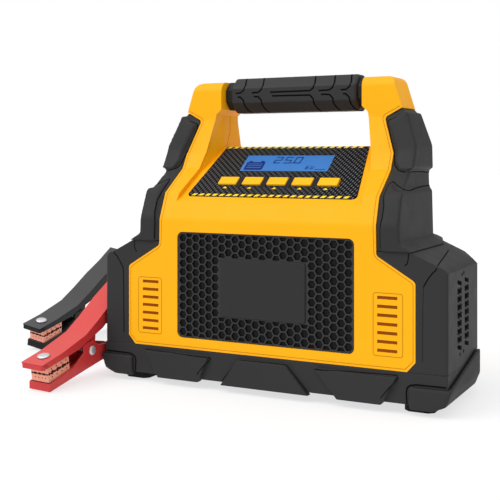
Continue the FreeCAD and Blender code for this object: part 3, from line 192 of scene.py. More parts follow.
# Softened edges of the CAD nodes: widths in millimetres, where faces turn by more than EDGE_ANGLE in degrees
EDGES_MM = {
    "base_tray": 0.8, "badge_plate": 0.6, "control_panel": 0.4, "grip_collars": 0.6, "rubber_feet": 0.8,
    "mains_inlet": 0.5, "lead_glands": 0.5,
}
for part, width in (("handle", 0.5), ("jaw", 0.25)):
    for colour in CLAMPS:
        for level in ("upper", "lower"):
            EDGES_MM["%s_clamp_%s_%s" % (colour, level, part)] = width
EDGES_MM.update({"front_shell": 0.9, "rear_shell": 0.9})
COVER_EDGE = 0.8
COVER_ROUND = 2.6
BUTTON_EDGE = 0.9
EDGE_ANGLE = 16
COVERS = ("left_side_cover", "right_side_cover")
PADS = ("left_leg_pad", "right_leg_pad")
BUMPERS = ("left_front_corner_bumper", "right_front_corner_bumper", "left_rear_corner_bumper",
           "right_rear_corner_bumper")
OWN_PIECES = ("grip_sleeve", "red_clamp_nose_rivet", "black_clamp_nose_rivet", "clamp_pivot_rivets",
              "clamp_springs")

# Pads and bumpers, rounded all over: cells in millimetres, rounds of smoothing, and share of the faces kept
ROUNDED_CELL = 1.3
ROUNDED_PASSES = 8
ROUNDED_KEPT = 0.35

SLOT_OF = {entry["node"]: entry["material_slot"] for entry in frame["record"]["subparts"]}
BODY_OF = {node: body for body, nodes in frame["record"]["behaviour"]["bodies"].items() for node in nodes}


# Materials
def linear(rgb):
    """Colour of a shader from the numbers 0 to 255 of a picture."""
    shares = [c / 255 for c in rgb]
    return tuple(c / 12.92 if c <= 0.04045 else ((c + 0.055) / 1.055) ** 2.4 for c in shares) + (1.0,)


def scaled(colour, factor):
    """Lighter or darker colour."""
    return tuple(min(1.0, c * factor) for c in colour[:3]) + (1.0,)


class NodeTree:
    """Short way to write shader nodes."""

    def __init__(self, owner):
        owner.use_nodes = True
        self.tree = owner.node_tree
        self.tree.nodes.clear()

    def feed(self, node, *inputs):
        """Give sockets, as (socket, value) pairs, a fixed value or another node's output."""
        for socket, value in inputs:
            if isinstance(value, bpy.types.NodeSocket):
                self.tree.links.new(value, node.inputs[socket])
            else:
                node.inputs[socket].default_value = value

    def add(self, kind, *inputs, **settings):
        """New node of a kind, with its settings made and its sockets fed."""
        node = self.tree.nodes.new("ShaderNode" + kind)
        for name, value in settings.items():
            setattr(node, name, value)
        self.feed(node, *inputs)
        return node

    def ramp(self, value, low, high, start=0.0, end=1.0):
        """Number that runs from start to end while the value runs from low to high."""
        return self.add("MapRange", ("Value", value), ("From Min", low), ("From Max", high),
                        ("To Min", start), ("To Max", end)).outputs[0]

    def split(self, vector):
        """The three parts of a vector."""
        return self.add("SeparateXYZ", (0, vector)).outputs


class Material(NodeTree):
    """Material of one Principled shader, with its patterns in the object's own coordinates."""

    def __init__(self, name):
        self.material = bpy.data.materials.new(name)
        super().__init__(self.material)
        self.shader = self.add("BsdfPrincipled")
        self.add("OutputMaterial", ("Surface", self.shader.outputs[0]))
        self.place = self.add("TexCoord").outputs["Object"]

    def calc(self, operation, first, second=0.0):
        return self.add("Math", (0, first), (1, second), operation=operation).outputs[0]

    def noise(self, scale, detail=3.0):
        node = self.add("TexNoise", ("Vector", self.place), ("Scale", scale), ("Detail", detail))
        return node.outputs["Fac"]

    def mix(self, factor, first, second):
        return self.add("Mix", (0, factor), (6, first), (7, second), data_type="RGBA").outputs[2]

    def bump(self, height, strength, distance):
        node = self.add("Bump", ("Strength", strength), ("Distance", distance), ("Height", height))
        self.feed(self.shader, ("Normal", node.outputs[0]))


def surface_finish(n, colour, roughness, grain, spread, wear=0.0, metallic=0.0, shine=0.3):
    """Uneven colour, which it returns, worn edges, uneven roughness, and grain as (scale, strength)."""
    base = linear(colour)
    tone = n.mix(n.ramp(n.noise(14.0), 0.3, 0.7), scaled(base, 1 - spread), scaled(base, 1 + spread))
    if wear:
        worn = tuple(c + (1 - c) * wear for c in base[:3]) + (1.0,)
        edges = n.ramp(n.add("NewGeometry").outputs["Pointiness"], 0.53, 0.65)
        tone = n.mix(n.calc("MULTIPLY", edges, n.ramp(n.noise(160.0), 0.4, 0.6)), tone, worn)
    uneven = n.ramp(n.noise(60.0), 0.3, 0.7, roughness - 0.03, roughness + 0.04)
    n.feed(n.shader, ("Roughness", uneven), ("Metallic", metallic), ("Specular IOR Level", shine))
    n.bump(n.noise(grain[0], 2.0), grain[1], GRAIN_DEPTH)
    return tone


def surface(name, colour, roughness, grain=(1800.0, 0.3), spread=0.06, **looks):
    """Moulded, cast or painted surface."""
    n = Material(name)
    n.feed(n.shader, ("Base Color", surface_finish(n, colour, roughness, grain, spread, **looks)))
    return n.material


def coating(name, colour, painted_shade_colour, shine):
    """Gloss coating of bent sheet, with painted shade on its upright sides."""
    n = Material(name)
    tone = surface_finish(n, colour, 0.34, (1500.0, 0.2), 0.05, shine=shine)
    # Painted shade: faces that point sideways rather than up take the darker side colour
    normal = n.add("NewGeometry").outputs["True Normal"]
    level = n.ramp(n.split(normal)[2], 0.35, 0.7)
    n.feed(n.shader, ("Base Color", n.mix(level, linear(painted_shade_colour), tone)))
    return n.material


def overlay():
    """Black panel overlay with rows of short slanted dashes."""
    n = Material("panel_overlay")
    tone = surface_finish(n, PANEL_BLACK, 0.5, (2600.0, 0.1), 0.05, shine=0.06)
    x, y, z = n.split(n.place)[:3]
    up = n.calc("ADD", n.calc("MULTIPLY", y, math.cos(SLOPE)), n.calc("MULTIPLY", z, math.sin(SLOPE)))
    column = n.calc("DIVIDE", n.calc("SUBTRACT", x, n.calc("MULTIPLY", up, DASH_LEAN)), DASH_COLUMN)
    row = n.calc("ADD", n.calc("DIVIDE", up, DASH_ROW), n.calc("MULTIPLY", n.calc("FLOOR", column), 0.5))
    dash = n.calc("MULTIPLY", n.calc("LESS_THAN", n.calc("FRACT", column), DASH_WIDTH),
                  n.calc("LESS_THAN", n.calc("FRACT", row), DASH_LENGTH))
    n.feed(n.shader, ("Base Color", n.mix(dash, tone, linear(PANEL_DASH))))
    return n.material


def grille():
    """Black honeycomb: its own colour on the rims, painted shade in the depth of its cells."""
    n = Material("grille_moulding")
    tone = surface_finish(n, GRILLE_RIM, 0.5, (2400.0, 0.3), 0.05, shine=0.16)
    # Painted shade: darker the deeper into the cells
    depth = n.ramp(n.split(n.place)[1], (FRONT_Y + CELL_SHADE_START) * MM, (FRONT_Y + CELL_SHADE_END) * MM)
    n.feed(n.shader, ("Base Color", n.mix(depth, tone, linear(GRILLE_PAINTED_SHADE))))
    return n.material


def display_face():
    """Smooth blue face of the display's window."""
    n = Material("display_window")
    base = linear(DISPLAY_BLUE)
    tone = n.mix(n.ramp(n.noise(20.0), 0.3, 0.7), base, scaled(base, 1.12))
    n.feed(n.shader, ("Base Color", tone), ("Roughness", 0.22), ("Specular IOR Level", 0.2))
    n.bump(n.noise(300.0), 0.02, 0.00002)
    return n.material


MATERIALS = {
    "yellow_shell": surface("yellow_moulding", YELLOW, 0.45, (2200.0, 0.2), 0.02, shine=0.15),
    "black_plastic": surface("black_moulding", BLACK_PLASTIC, 0.55, (2600.0, 0.5), 0.05, shine=0.16),
    "bumper_rubber": surface("bumper_rubber", BUMPER_BLACK, 0.62, (2000.0, 0.5), 0.04, shine=0.14),
    "foot_rubber": surface("foot_rubber", (30, 30, 31), 0.75, (1500.0, 0.6), 0.08, shine=0.14),
    "grille_plastic": grille(),
    "badge": surface("badge_plate", (44, 44, 45), 0.45, (2600.0, 0.2), 0.04, shine=0.16),
    "panel_plastic": overlay(),
    "display_glass": display_face(),
    "display_body": surface("display_module", DISPLAY_BLUE, 0.4, (400.0, 0.1), 0.03),
    "circuit_board": surface("circuit_board", (22, 84, 48), 0.45, (900.0, 0.4), 0.15),
    "button_plastic": surface("button_caps", (252, 184, 16), 0.38, (2400.0, 0.1), 0.02, shine=0.2),
    "grip_rubber": surface("grip_rubber", GRIP_BLACK, 0.5, (1700.0, 0.5), 0.05, shine=0.25),
    "collar_plastic": surface("grip_collars", (34, 34, 35), 0.5, (2400.0, 0.3), 0.08, shine=0.2),
    "steel_tube": surface("steel_tube", (170, 170, 172), 0.3, (900.0, 0.2), 0.05, metallic=1.0),
    "screw_steel": surface("screw_steel", (150, 150, 152), 0.32, (1500.0, 0.2), 0.08, metallic=1.0),
    "transformer_iron": surface("transformer_laminations", (84, 84, 88), 0.6, (1400.0, 0.8), 0.15,
                                metallic=0.6),
    "winding": surface("winding_tape", (196, 150, 44), 0.35, (600.0, 0.4), 0.10),
    "heat_sink_aluminium": surface("heat_sink_aluminium", (186, 188, 190), 0.35, (1200.0, 0.2), metallic=1.0),
    "capacitor_sleeve": surface("capacitor_sleeves", (24, 28, 52), 0.28, (900.0, 0.1), 0.05),
    "film_capacitor": surface("film_capacitor", (236, 120, 30), 0.4, (900.0, 0.1)),
    "terminal_green": surface("terminal_block", (110, 160, 40), 0.45, (1500.0, 0.2), 0.08),
    "fan_plastic": surface("fan_plastic", (22, 22, 23), 0.5, (2000.0, 0.3), 0.10, wear=0.04),
    "inlet_plastic": surface("inlet_plastic", (22, 22, 23), 0.48, (2200.0, 0.3), 0.10, wear=0.04),
    "red_paint": coating("red_coating_painted_shade", RED_PAINT, RED_SIDE_PAINTED_SHADE, 0.3),
    "black_paint": coating("black_coating_painted_shade", BLACK_PAINT, BLACK_SIDE_PAINTED_SHADE, 0.2),
    "copper": surface("copper_plating", COPPER, 0.45, (1300.0, 0.4), metallic=0.2),
    "rivet_steel": surface("rivet_steel", (215, 215, 220), 0.4, (1500.0, 0.2), 0.05, metallic=0.7),
    "spring_steel": surface("spring_steel", (140, 140, 144), 0.3, (1500.0, 0.2), 0.05, metallic=1.0),
}
TOOTH_GAP_SHADE = surface("tooth_gap_shade", TOOTH_PAINTED_SHADE, 0.7, (1500.0, 0.2), 0.1, shine=0.1)
FAINT_GROOVE = surface("faint_groove", (30, 30, 31), 0.7, (1500.0, 0.2), 0.1, shine=0.1)
GROOVE = surface("groove_and_shadow_black", GROOVE_AND_SHADOW_BLACK, 0.8, (1500.0, 0.2), 0.1, shine=0.05)
AMBER_GROOVE = surface("groove_amber", AMBER, 0.7, (1500.0, 0.2), 0.05, shine=0.1)
SLOT_FLOOR_SHADE = surface("slot_floor", SLOT_PAINTED_SHADE, 0.7, (1500.0, 0.2), 0.08, shine=0.1)
HAZARD = surface("hazard_print", HAZARD_YELLOW, 0.5, (1500.0, 0.1), 0.04, shine=0.2)
BLACK_PRINT = surface("smooth_print", (13, 13, 14), 0.4, (1500.0, 0.1), shine=0.25)
MARK = surface("display_mark", DISPLAY_MARK, 0.5, (1500.0, 0.1), 0.05, shine=0.1)


# Meshes
@contextmanager
def opened(mesh):
    """Mesh open for changes, which are written back at the end."""
    work = bmesh.new()
    work.from_mesh(mesh)
    yield work
    work.to_mesh(mesh)
    work.free()


def shade(work, smooth):
    """Smooth or flat shading of every face."""
    for face in work.faces:
        face.smooth = smooth


def shown(name, data, material, body):
    """Object of a mesh or curve in one material, which rides on a body."""
    obj = bpy.data.objects.new(name, data)
    bpy.context.scene.collection.objects.link(obj)
    data.materials.clear()
    data.materials.append(material)
    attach(obj, body)
    return obj


def piece(name, verts, faces, material, body="root", smooth=False):
    """New mesh piece from places in millimetres."""
    mesh = bpy.data.meshes.new(name)
    mesh.from_pydata([Vector(v) * MM for v in verts], [], faces)
    mesh.validate()
    with opened(mesh) as work:
        bmesh.ops.recalc_face_normals(work, faces=work.faces)
        shade(work, smooth)
    return shown(name, mesh, material, body)


def soft_edges(obj, width_mm, segments, angle, harden=True):
    """Bevel along the edges that turn by more than the angle in degrees."""
    bevel = obj.modifiers.new("edge", "BEVEL")
    bevel.width = width_mm * MM
    bevel.segments = segments
    bevel.limit_method = "ANGLE"
    bevel.angle_limit = math.radians(angle)
    bevel.harden_normals = harden


def box(u0, v0, u1, v1):
    """Outline of an upright rectangle."""
    return [(u0, v0), (u1, v0), (u1, v1), (u0, v1)]


def slabs(name, outlines, place, low, high, material, body="root"):
    """Flat prints or inlays: closed outlines (u, v) between two heights of a plane."""
    verts = []
    faces = []
    for outline in outlines:
        first = len(verts)
        count = len(outline)
        verts += [place(u, v, low) for u, v in outline] + [place(u, v, high) for u, v in outline]
        faces.append([first + i for i in reversed(range(count))])
        faces.append([first + count + i for i in range(count)])
        for i in range(count):
            j = (i + 1) % count
            faces.append([first + i, first + j, first + count + j, first + count + i])
    return piece(name, verts, faces, material, body)


def lathe(profile, count, place):
    """Turned form: profile of (radius, height), place turns radius, angle and height into a point."""
    verts = [place(radius, 2 * math.pi * i / count, height)
             for radius, height in profile for i in range(count)]
    faces = []
    for ring in range(len(profile) - 1):
        for i in range(count):
            j = (i + 1) % count
            faces.append([ring * count + i, ring * count + j, (ring + 1) * count + j, (ring + 1) * count + i])
    faces.append(list(range(count)))
    faces.append([(len(profile) - 1) * count + i for i in range(count)])
    return verts, faces


def joined(forms):
    """One list of points and one of faces from several."""
    verts = []
    faces = []
    for more_verts, more_faces in forms:
        first = len(verts)
        verts += more_verts
        faces += [[first + i for i in face] for face in more_faces]
    return verts, faces


# Lines that follow a surface
def tree_of(names):
    """Search tree, in metres, over pieces and nodes' stand-ins as they are seen."""
    verts = []
    faces = []
    view = bpy.context.evaluated_depsgraph_get()
    for name in names:
        obj = bpy.data.objects.get(name + ".soft") or bpy.data.objects[name]
        seen = obj.evaluated_get(view)
        mesh = seen.to_mesh()
        first = len(verts)
        verts += [v.co.copy() for v in mesh.vertices]
        faces += [[first + i for i in polygon.vertices] for polygon in mesh.polygons]
        seen.to_mesh_clear()
    return BVHTree.FromPolygons(verts, faces)


def stops_along(path, step):
    """Points on a path in millimetres, about a step apart."""
    stops = []
    for start, end in zip(path, path[1:]):
        start, end = Vector(start), Vector(end)
        count = max(1, round((end - start).length / step))
        stops += [start.lerp(end, i / count) for i in range(count)]
    return stops + [Vector(path[-1])]


def dropped(tree, stop, view):
    """Place and normal where a point lands on the surface, along view or at the nearest point."""
    if view is None:
        return tree.find_nearest(stop * MM)[:2]
    return tree.ray_cast(stop * MM - Vector(view) * 0.5, Vector(view))[:2]


def ribbon(name, tree, path, width, material, view=None, lift=0.15, step=1.5):
    """Narrow line that follows the surface under a path in millimetres."""
    landed = [dropped(tree, stop, view) for stop in stops_along(path, step)]
    spots = [(spot / MM, normal) for spot, normal in landed if spot is not None]
    verts = []
    for i, (spot, normal) in enumerate(spots):
        ahead = spots[min(i + 1, len(spots) - 1)][0]
        behind = spots[max(i - 1, 0)][0]
        side = (ahead - behind).cross(normal).normalized() * width / 2
        rise = normal * lift
        top = spot + rise
        verts += [spot + side - rise, top + side * 0.6, top - side * 0.6, spot - side - rise]
    faces = []
    for a in range(0, 4 * (len(spots) - 1), 4):
        faces += [[a, a + 4, a + 5, a + 1], [a + 1, a + 5, a + 6, a + 2], [a + 2, a + 6, a + 7, a + 3]]
    return piece(name, verts, faces, material, "root", True)


def both_sides(name, tree_names, path, width, material, view=None, lift=0.15):
    """The same line on the right and, turned over, on the left."""
    for side, sign in (("right", 1), ("left", -1)):
        names = [n.replace("right", side) for n in tree_names]
        turned = [(sign * x, y, z) for x, y, z in path]
        ribbon(side + "_" + name, tree_of(names), turned, width, material, view, lift, 0.6)


# CAD nodes: softened stand-ins where edges show, and better materials on the rest
def stand_in(node):
    """Copy of a node's form, welded and with flat faces joined."""
    mesh = frame["nodes"][node].data.copy()
    mesh.name = "soft_" + node
    with opened(mesh) as work:
        bmesh.ops.remove_doubles(work, verts=work.verts, dist=0.00002)
        bmesh.ops.dissolve_limit(work, angle_limit=math.radians(0.6), verts=work.verts, edges=work.edges)
        shade(work, True)
    obj = shown(node + ".soft", mesh, MATERIALS[SLOT_OF[node]], BODY_OF[node])
    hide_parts(node)
    return obj


def refined(obj, bevel_mm, segments=2):
    """Softened edges with clean shading."""
    soft_edges(obj, bevel_mm, segments, EDGE_ANGLE)
    triangles = obj.modifiers.new("faces", "TRIANGULATE")
    triangles.keep_custom_normals = True
    weight = obj.modifiers.new("shade", "WEIGHTED_NORMAL")
    weight.keep_sharp = True


def on_cover_rim(x, y, z):
    """Whether a place lies on the front or top edge of a cover's outer face."""
    return abs(x) > 148.5 and z > 45 and y < 5 and (y < -72 or z > 107.5)


def round_rim(cover):
    """Broad rounding of a cover's front and top edge."""
    with opened(cover.data) as work:
        chosen = [edge for edge in work.edges
                  if len(edge.link_faces) == 2 and edge.calc_face_angle(0.0) > math.radians(14)
                  and edge.calc_length() > COVER_ROUND * MM
                  and on_cover_rim(*((edge.verts[0].co + edge.verts[1].co) / 2 / MM))]
        bmesh.ops.bevel(work, geom=chosen, offset=COVER_ROUND * MM, segments=4, profile=0.5, affect="EDGES",
                        clamp_overlap=True)
        shade(work, True)


def blunt_foot(pad):
    """Draw the thin lower rim of a leg pad back onto the shoulder that it stands on."""
    for vertex in pad.data.vertices:
        if vertex.co.z < PAD_RIM_Z * MM and abs(vertex.co.x) > PAD_RIM_X * MM:
            vertex.co.x = math.copysign(PAD_RIM_X * MM, vertex.co.x)


def rounded(obj):
    """Round a stand-in all over, as a rubber moulding is."""
    remesh = obj.modifiers.new("cells", "REMESH")
    remesh.mode = "VOXEL"
    remesh.voxel_size = ROUNDED_CELL * MM
    remesh.use_smooth_shade = True
    smooth = obj.modifiers.new("round", "SMOOTH")
    smooth.factor = 0.5
    smooth.iterations = ROUNDED_PASSES
    fewer = obj.modifiers.new("fewer", "DECIMATE")
    fewer.ratio = ROUNDED_KEPT


def button(number, middle_u):
    """Button a little slimmer and lower than its node, as the photograph has it."""
    obj = stand_in("button_%d" % number)
    refined(obj, BUTTON_EDGE, 3)
    for vertex in obj.data.vertices:
        offset = vertex.co / MM - PANEL_MIDDLE
        height = offset.z * math.cos(SLOPE) - offset.y * math.sin(SLOPE)
        vertex.co.x = (middle_u + (offset.x - middle_u) * BUTTON_SLIM) * MM
        if height > PANEL_TOP:
            vertex.co += Vector((0, math.sin(SLOPE), -math.cos(SLOPE))) * BUTTON_LOWER * MM


def dress_nodes():
    """Stand-ins for the nodes whose edges show, and better materials on the rest."""
    for node, width in EDGES_MM.items():
        refined(stand_in(node), width)
    for node in COVERS:
        cover = stand_in(node)
        round_rim(cover)
        refined(cover, COVER_EDGE)
    for node in PADS:
        pad = stand_in(node)
        blunt_foot(pad)
        rounded(pad)
    for node in BUMPERS:
        rounded(stand_in(node))
    for number, u in enumerate(BUTTON_U, 1):
        button(number, u)
    replaced = set(EDGES_MM) | set(COVERS + PADS + BUMPERS + OWN_PIECES)
    for node, obj in frame["nodes"].items():
        if node not in replaced and not node.startswith("button"):
            obj.data.materials.clear()
            obj.data.materials.append(MATERIALS[SLOT_OF[node]])


# Planes that prints and inlays lie on
def on_panel(u, v, h):
    """Place u across the panel, v up its slope and h out of it."""
    return PANEL_MIDDLE + Vector((u, v * math.cos(SLOPE) - h * math.sin(SLOPE),
                                  v * math.sin(SLOPE) + h * math.cos(SLOPE)))


def on_front(u, v, h):
    """Place u across the front, v up and h out of it."""
    return Vector((u, FRONT_Y - h, v))


def on_side(u, v, h):
    """Place u towards the back, v up and h out of the right side."""
    return Vector((SIDE_X + h, u, v))


# Control panel
def panel_print(name, outlines, rise, material):
    """Print on the panel plate, sunk a little into it."""
    slabs(name, outlines, on_panel, PANEL_TOP - PRINT_SINK, PANEL_TOP + rise, material)


def hazard_stripes():
    """Leaning stripes along the panel's upper and lower edge."""
    for name, low, high, half in STRIPE_ROWS:
        stripes = []
        u = 1.0 - half
        while u + 5.0 < half:
            stripes.append([(u, low), (u + STRIPE_WIDTH, low), (u + STRIPE_WIDTH + STRIPE_LEAN, high),
                            (u + STRIPE_LEAN, high)])
            u += STRIPE_PITCH
        panel_print("hazard_stripes_" + name, stripes, 0.12, HAZARD)


def button_prints():
    """Smooth fields between the buttons, and a pointer under each."""
    half = BUTTON_HALF_WIDTH * BUTTON_SLIM
    fields = []
    for left, right in zip(BUTTON_U, BUTTON_U[1:]):
        u0, u1 = left + half + 0.1, right - half - 0.1
        top = BUTTON_V + BUTTON_HALF_LENGTH + 0.6
        low = BUTTON_V - BUTTON_HALF_LENGTH - 3.0
        fields.append([(u0 - 2.2, low), (u1 - 2.2, low), (u1, low + 3.4), (u1, top), (u0, top),
                       (u0, low + 3.4)])
    panel_print("button_fields", fields, 0.25, BLACK_PRINT)
    tip = BUTTON_V - BUTTON_HALF_LENGTH - 2.6
    pointers = [[(u - 2.1, tip - 2.3), (u + 2.1, tip - 2.3), (u, tip)] for u in BUTTON_U]
    panel_print("button_pointers", pointers, 0.15, HAZARD)


def digit(segments, u, v, width, height, thick):
    """Bars of a seven-segment digit whose lower left corner is at u, v."""
    half = height / 2
    cut = thick * 0.35
    lean = 0.12
    bars = {
        "a": (0, height - thick, width, height), "g": (0, half - thick / 2, width, half + thick / 2),
        "d": (0, 0, width, thick), "f": (0, half, thick, height), "b": (width - thick, half, width, height),
        "e": (0, 0, thick, half), "c": (width - thick, 0, width, half),
    }
    outlines = []
    for key in segments:
        u0, v0, u1, v1 = bars[key]
        corners = [(u0 + cut, v0), (u1 - cut, v0), (u1, v0 + cut), (u1, v1 - cut), (u1 - cut, v1),
                   (u0 + cut, v1), (u0, v1 - cut), (u0, v0 + cut)]
        outlines.append([(u + a + lean * b, v + b) for a, b in corners])
    return outlines


def display_marks():
    """Large and small digits, a bar beside them, and the outline of a battery with lines in it."""
    marks = []
    for index, segments in enumerate(("abged", "afgcd", "abcdef")):
        marks += digit(segments, -13.0 + index * 9.4, 11.0, 6.6, 9.0, 1.1)
    point = box(4.0, 11.0, 5.3, 12.3)
    battery = box(-38.0, 1.8, -20.4, 12.6)
    poles = [box(-36.4, 12.6, -33.2, 14.2), box(-25.0, 12.6, -21.8, 14.2)]
    marks += [point, battery] + poles
    marks += digit("acdefg", 19.5, 3.0, 2.6, 4.6, 0.7) + digit("bcdef", 24.0, 3.0, 2.6, 4.6, 0.7)
    marks.append(box(28.6, 2.6, 38.0, 3.3))
    slabs("display_marks", marks, on_panel, WINDOW_TOP - PRINT_SINK, WINDOW_TOP + 0.08, MARK)
    lines = [box(-36.2, v, -22.2, v + 0.7) for v in (4.4, 7.0, 9.6)]
    slabs("display_icon_lines", lines, on_panel, WINDOW_TOP, WINDOW_TOP + 0.12, MATERIALS["display_body"])


# Front
def front_details():
    """Floors of the blind slots in painted shade, the fine frame round them, and the groove along the yellow
    edge.
    """
    for side, sign in (("right", 1), ("left", -1)):
        u0, u1 = sorted((sign * SLOT_INNER_X, sign * SLOT_OUTER_X))
        rows = [SLOT_FIRST_Z + SLOT_PITCH * i for i in range(SLOT_COUNT)]
        # Painted shade: dark amber floors inside the yellow blind slots
        floors = [box(u0, z + SLOT_LOW, u1, z + SLOT_HIGH) for z in rows]
        slabs(side + "_slot_floors", floors, on_front, -1.3, -0.85, SLOT_FLOOR_SHADE)
    vent_frame = [(95.4, 43.6), (96.7, 42.3), (117.6, 42.3), (118.9, 43.6), (118.9, 88.9), (117.6, 90.2),
                  (96.7, 90.2), (95.4, 88.9), (95.4, 43.6)]
    edge = [(0.0, 34.0), (120.8, 34.0), (127.0, 40.3), (127.0, 97.5), (125.0, 99.6), (98.5, 115.9),
            (96.1, 119.0), (94.9, 150.0), (94.7, 196.2), (84.6, 225.4), (86.0, 228.3), (99.0, 235.2)]
    for name, line, width in (("vent_frame", vent_frame, 0.8), ("edge_groove", edge, 0.7)):
        both_sides(name, ["front_shell"], [(x, 0.0, z) for x, z in line], width, AMBER_GROOVE,
                   INTO_FRONT, 0.1)


# Black plastic
def leg_seams():
    """Edges of the two plates on each leg pad, and the parting line of the yellow legs."""
    upper_plate = [(96.8, -23.7, 226.1), (90.8, -21.6, 223.4), (89.1, -22.6, 219.7), (94.6, -27.5, 201.7),
                   (98.5, -31.4, 192.8), (99.6, -34.9, 187.0), (103.0, -36.7, 183.4), (108.7, -39.1, 181.6),
                   (113.0, -34.6, 181.9), (113.0, -14.5, 181.9), (113.0, 9.5, 181.0), (113.0, 30.0, 181.5)]
    lower_plate = [(103.1, -73.3, 119.9), (102.3, -73.0, 148.2), (102.4, -69.6, 156.6), (101.3, -61.7, 165.0),
                   (101.2, -52.0, 172.5), (102.7, -48.7, 174.6), (107.5, -52.6, 171.7), (113.3, -55.6, 168.2),
                   (114.6, -45.1, 167.0), (113.3, -18.3, 169.0), (113.3, -2.3, 169.8), (113.3, 30.0, 170.0)]
    parting = [(71.5, 5.6, 233.0), (71.5, 5.2, 216.6), (71.5, 1.4, 208.3), (71.5, 0.2, 204.5)]
    both_sides("upper_plate_edge", ["right_leg_pad"], upper_plate, 1.2, GROOVE)
    both_sides("lower_plate_edge", ["right_leg_pad"], lower_plate, 1.2, GROOVE)
    both_sides("leg_parting", ["front_shell", "rear_shell"], parting, 0.5, AMBER_GROOVE)


def cover_seams():
    """Slanting seam and upright fold of each side cover."""
    slant = [(126.4, 34.0, 117.2), (137.7, -25.3, 116.0), (144.1, -65.1, 113.2), (145.1, -70.2, 113.0),
             (144.8, -73.3, 110.0), (141.5, -73.3, 106.9), (138.1, -73.3, 102.2), (135.0, -73.3, 96.8)]
    fold = [(135.0, -73.3, 97.0), (134.5, -73.3, 79.6), (134.3, -73.3, 57.2), (134.2, -73.3, 40.8)]
    both_sides("cover_seam", ["right_side_cover"], slant, 1.2, GROOVE)
    for side, sign, width, material in (("right", 1, 0.6, FAINT_GROOVE), ("left", -1, 1.1, GROOVE)):
        ribbon(side + "_cover_fold", tree_of([side + "_side_cover"]), [(sign * x, y, z) for x, y, z in fold],
               width, material)


def base_seams():
    """Edges of the corner bumpers and of the tray's raised blocks, and the groove under each leg pad."""
    bumper = [(152.2, 0.0, 23.4), (129.6, 0.0, 23.3), (124.9, 0.0, 22.4), (122.5, 0.0, 20.4),
              (121.7, 0.0, 16.7), (122.2, 0.0, 8.0)]
    blocks = (
        ("left", [(-111.6, 27.9), (-49.0, 27.3), (-47.1, 25.9), (-58.5, 12.4)]),
        ("middle", [(-36.8, 8.1), (-21.1, 27.6), (22.5, 27.8), (42.3, 6.5)]),
        ("right", [(63.2, 7.4), (47.3, 27.2), (114.5, 28.8), (115.3, 26.6), (102.7, 11.2)]),
    )
    under_pad = [(123.4, -73.3, 121.0), (123.2, -73.3, 117.0), (122.4, -73.3, 113.2), (120.5, -73.3, 111.7)]
    both_sides("bumper_edge", ["base_tray", "right_side_cover"], bumper, 1.5, GROOVE,
               INTO_FRONT)
    tray = tree_of(["base_tray"])
    for name, line in blocks:
        ribbon(name + "_block_edge", tray, [(x, 0.0, z) for x, z in line], 0.9, GROOVE,
               INTO_FRONT, 0.15, 1.0)
    both_sides("pad_groove", ["right_side_cover"], under_pad, 1.0, GROOVE)


def side_vent_dots():
    """Small round holes at both ends of the round vent's columns."""
    dots = []
    for y, z in VENT_DOTS:
        dots.append(lathe([(VENT_DOT_RADIUS, -0.3), (VENT_DOT_RADIUS, 0.08)], 12,
                          lambda r, a, h, y=y, z=z: on_side(y + r * math.cos(a), z + r * math.sin(a), h)))
    verts, faces = joined(dots)
    piece("side_vent_dots", verts, faces, GROOVE)


def side_vent_steps():
    """Stepped ends of the slots in the right cover's round vent."""
    outlines = []
    for row in range(1, VENT_ROWS - 1):
        z = VENT_Z + (row - (VENT_ROWS - 1) / 2) * VENT_PITCH
        for y in (VENT_Y - VENT_COLUMN, VENT_Y + VENT_COLUMN):
            for turn in (1, -1):
                outlines.append([(y + turn * u, z + turn * v) for u, v in VENT_STEP])
    slabs("side_vent_steps", outlines, on_side, -0.3, 0.05, GROOVE)


# Grip
def grip_sleeve():
    """Eight-sided sleeve with chamfered ends, bored for the tube."""
    half, inner = GRIP_HALF, GRIP_INNER
    profile = [(-half, -inner), (-half, inner), (-inner, half), (inner, half), (half, inner), (half, -inner),
               (inner, -half), (-inner, -half)]
    verts = []
    for x, share in ((-GRIP_HALF_LENGTH, GRIP_END_SHARE), (-GRIP_HALF_LENGTH + GRIP_END, 1.0),
                     (GRIP_HALF_LENGTH - GRIP_END, 1.0), (GRIP_HALF_LENGTH, GRIP_END_SHARE)):
        verts += [(x, y * share, GRIP_Z + z * share) for y, z in profile]
    for x in (GRIP_HALF_LENGTH, -GRIP_HALF_LENGTH):
        for i in range(8):
            angle = math.radians(202.5 - 45 * i)
            verts.append((x, GRIP_BORE * math.cos(angle), GRIP_Z + GRIP_BORE * math.sin(angle)))
    faces = []
    for ring in range(6):
        following = (ring + 1) % 6
        for i in range(8):
            j = (i + 1) % 8
            faces.append([ring * 8 + i, ring * 8 + j, following * 8 + j, following * 8 + i])
    sleeve = piece("grip_sleeve.form", verts, faces, MATERIALS["grip_rubber"])
    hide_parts("grip_sleeve")
    soft_edges(sleeve, 1.4, 3, 20)


def grip_grooves():
    """Stepped grooves of the tread, over the top and under, on the front and the back."""
    tree = tree_of(["grip_sleeve.form"])
    for number, (x, run) in enumerate(GRIP_GROOVES, 1):
        for face, sign in (("front", -1), ("back", 1)):
            wall = sign * GRIP_HALF
            upper = [(x - 1.5, 0, 263.7), (x - 1.5, sign * 6.0, 263.7), (x + 0.8, sign * 13.7, 256.5),
                     (x, wall, 252.8), (x - 3.2, wall, 250.4), (x - run, wall, 250.2)]
            lower = [(x - run + 2.0, wall, 246.9), (x - 3.2, wall, 246.6), (x, wall, 243.2),
                     (x - 0.3, sign * 12.7, 238.9), (x + 1.0, sign * 9.7, 235.9),
                     (x + 4.0, sign * 5.0, 232.7), (x + 5.0, 0, 232.7)]
            for part, path in (("upper", upper), ("lower", lower)):
                ribbon("grip_groove_%d_%s_%s" % (number, face, part), tree, path, 1.8, GROOVE,
                       None, 0.1, 1.0)


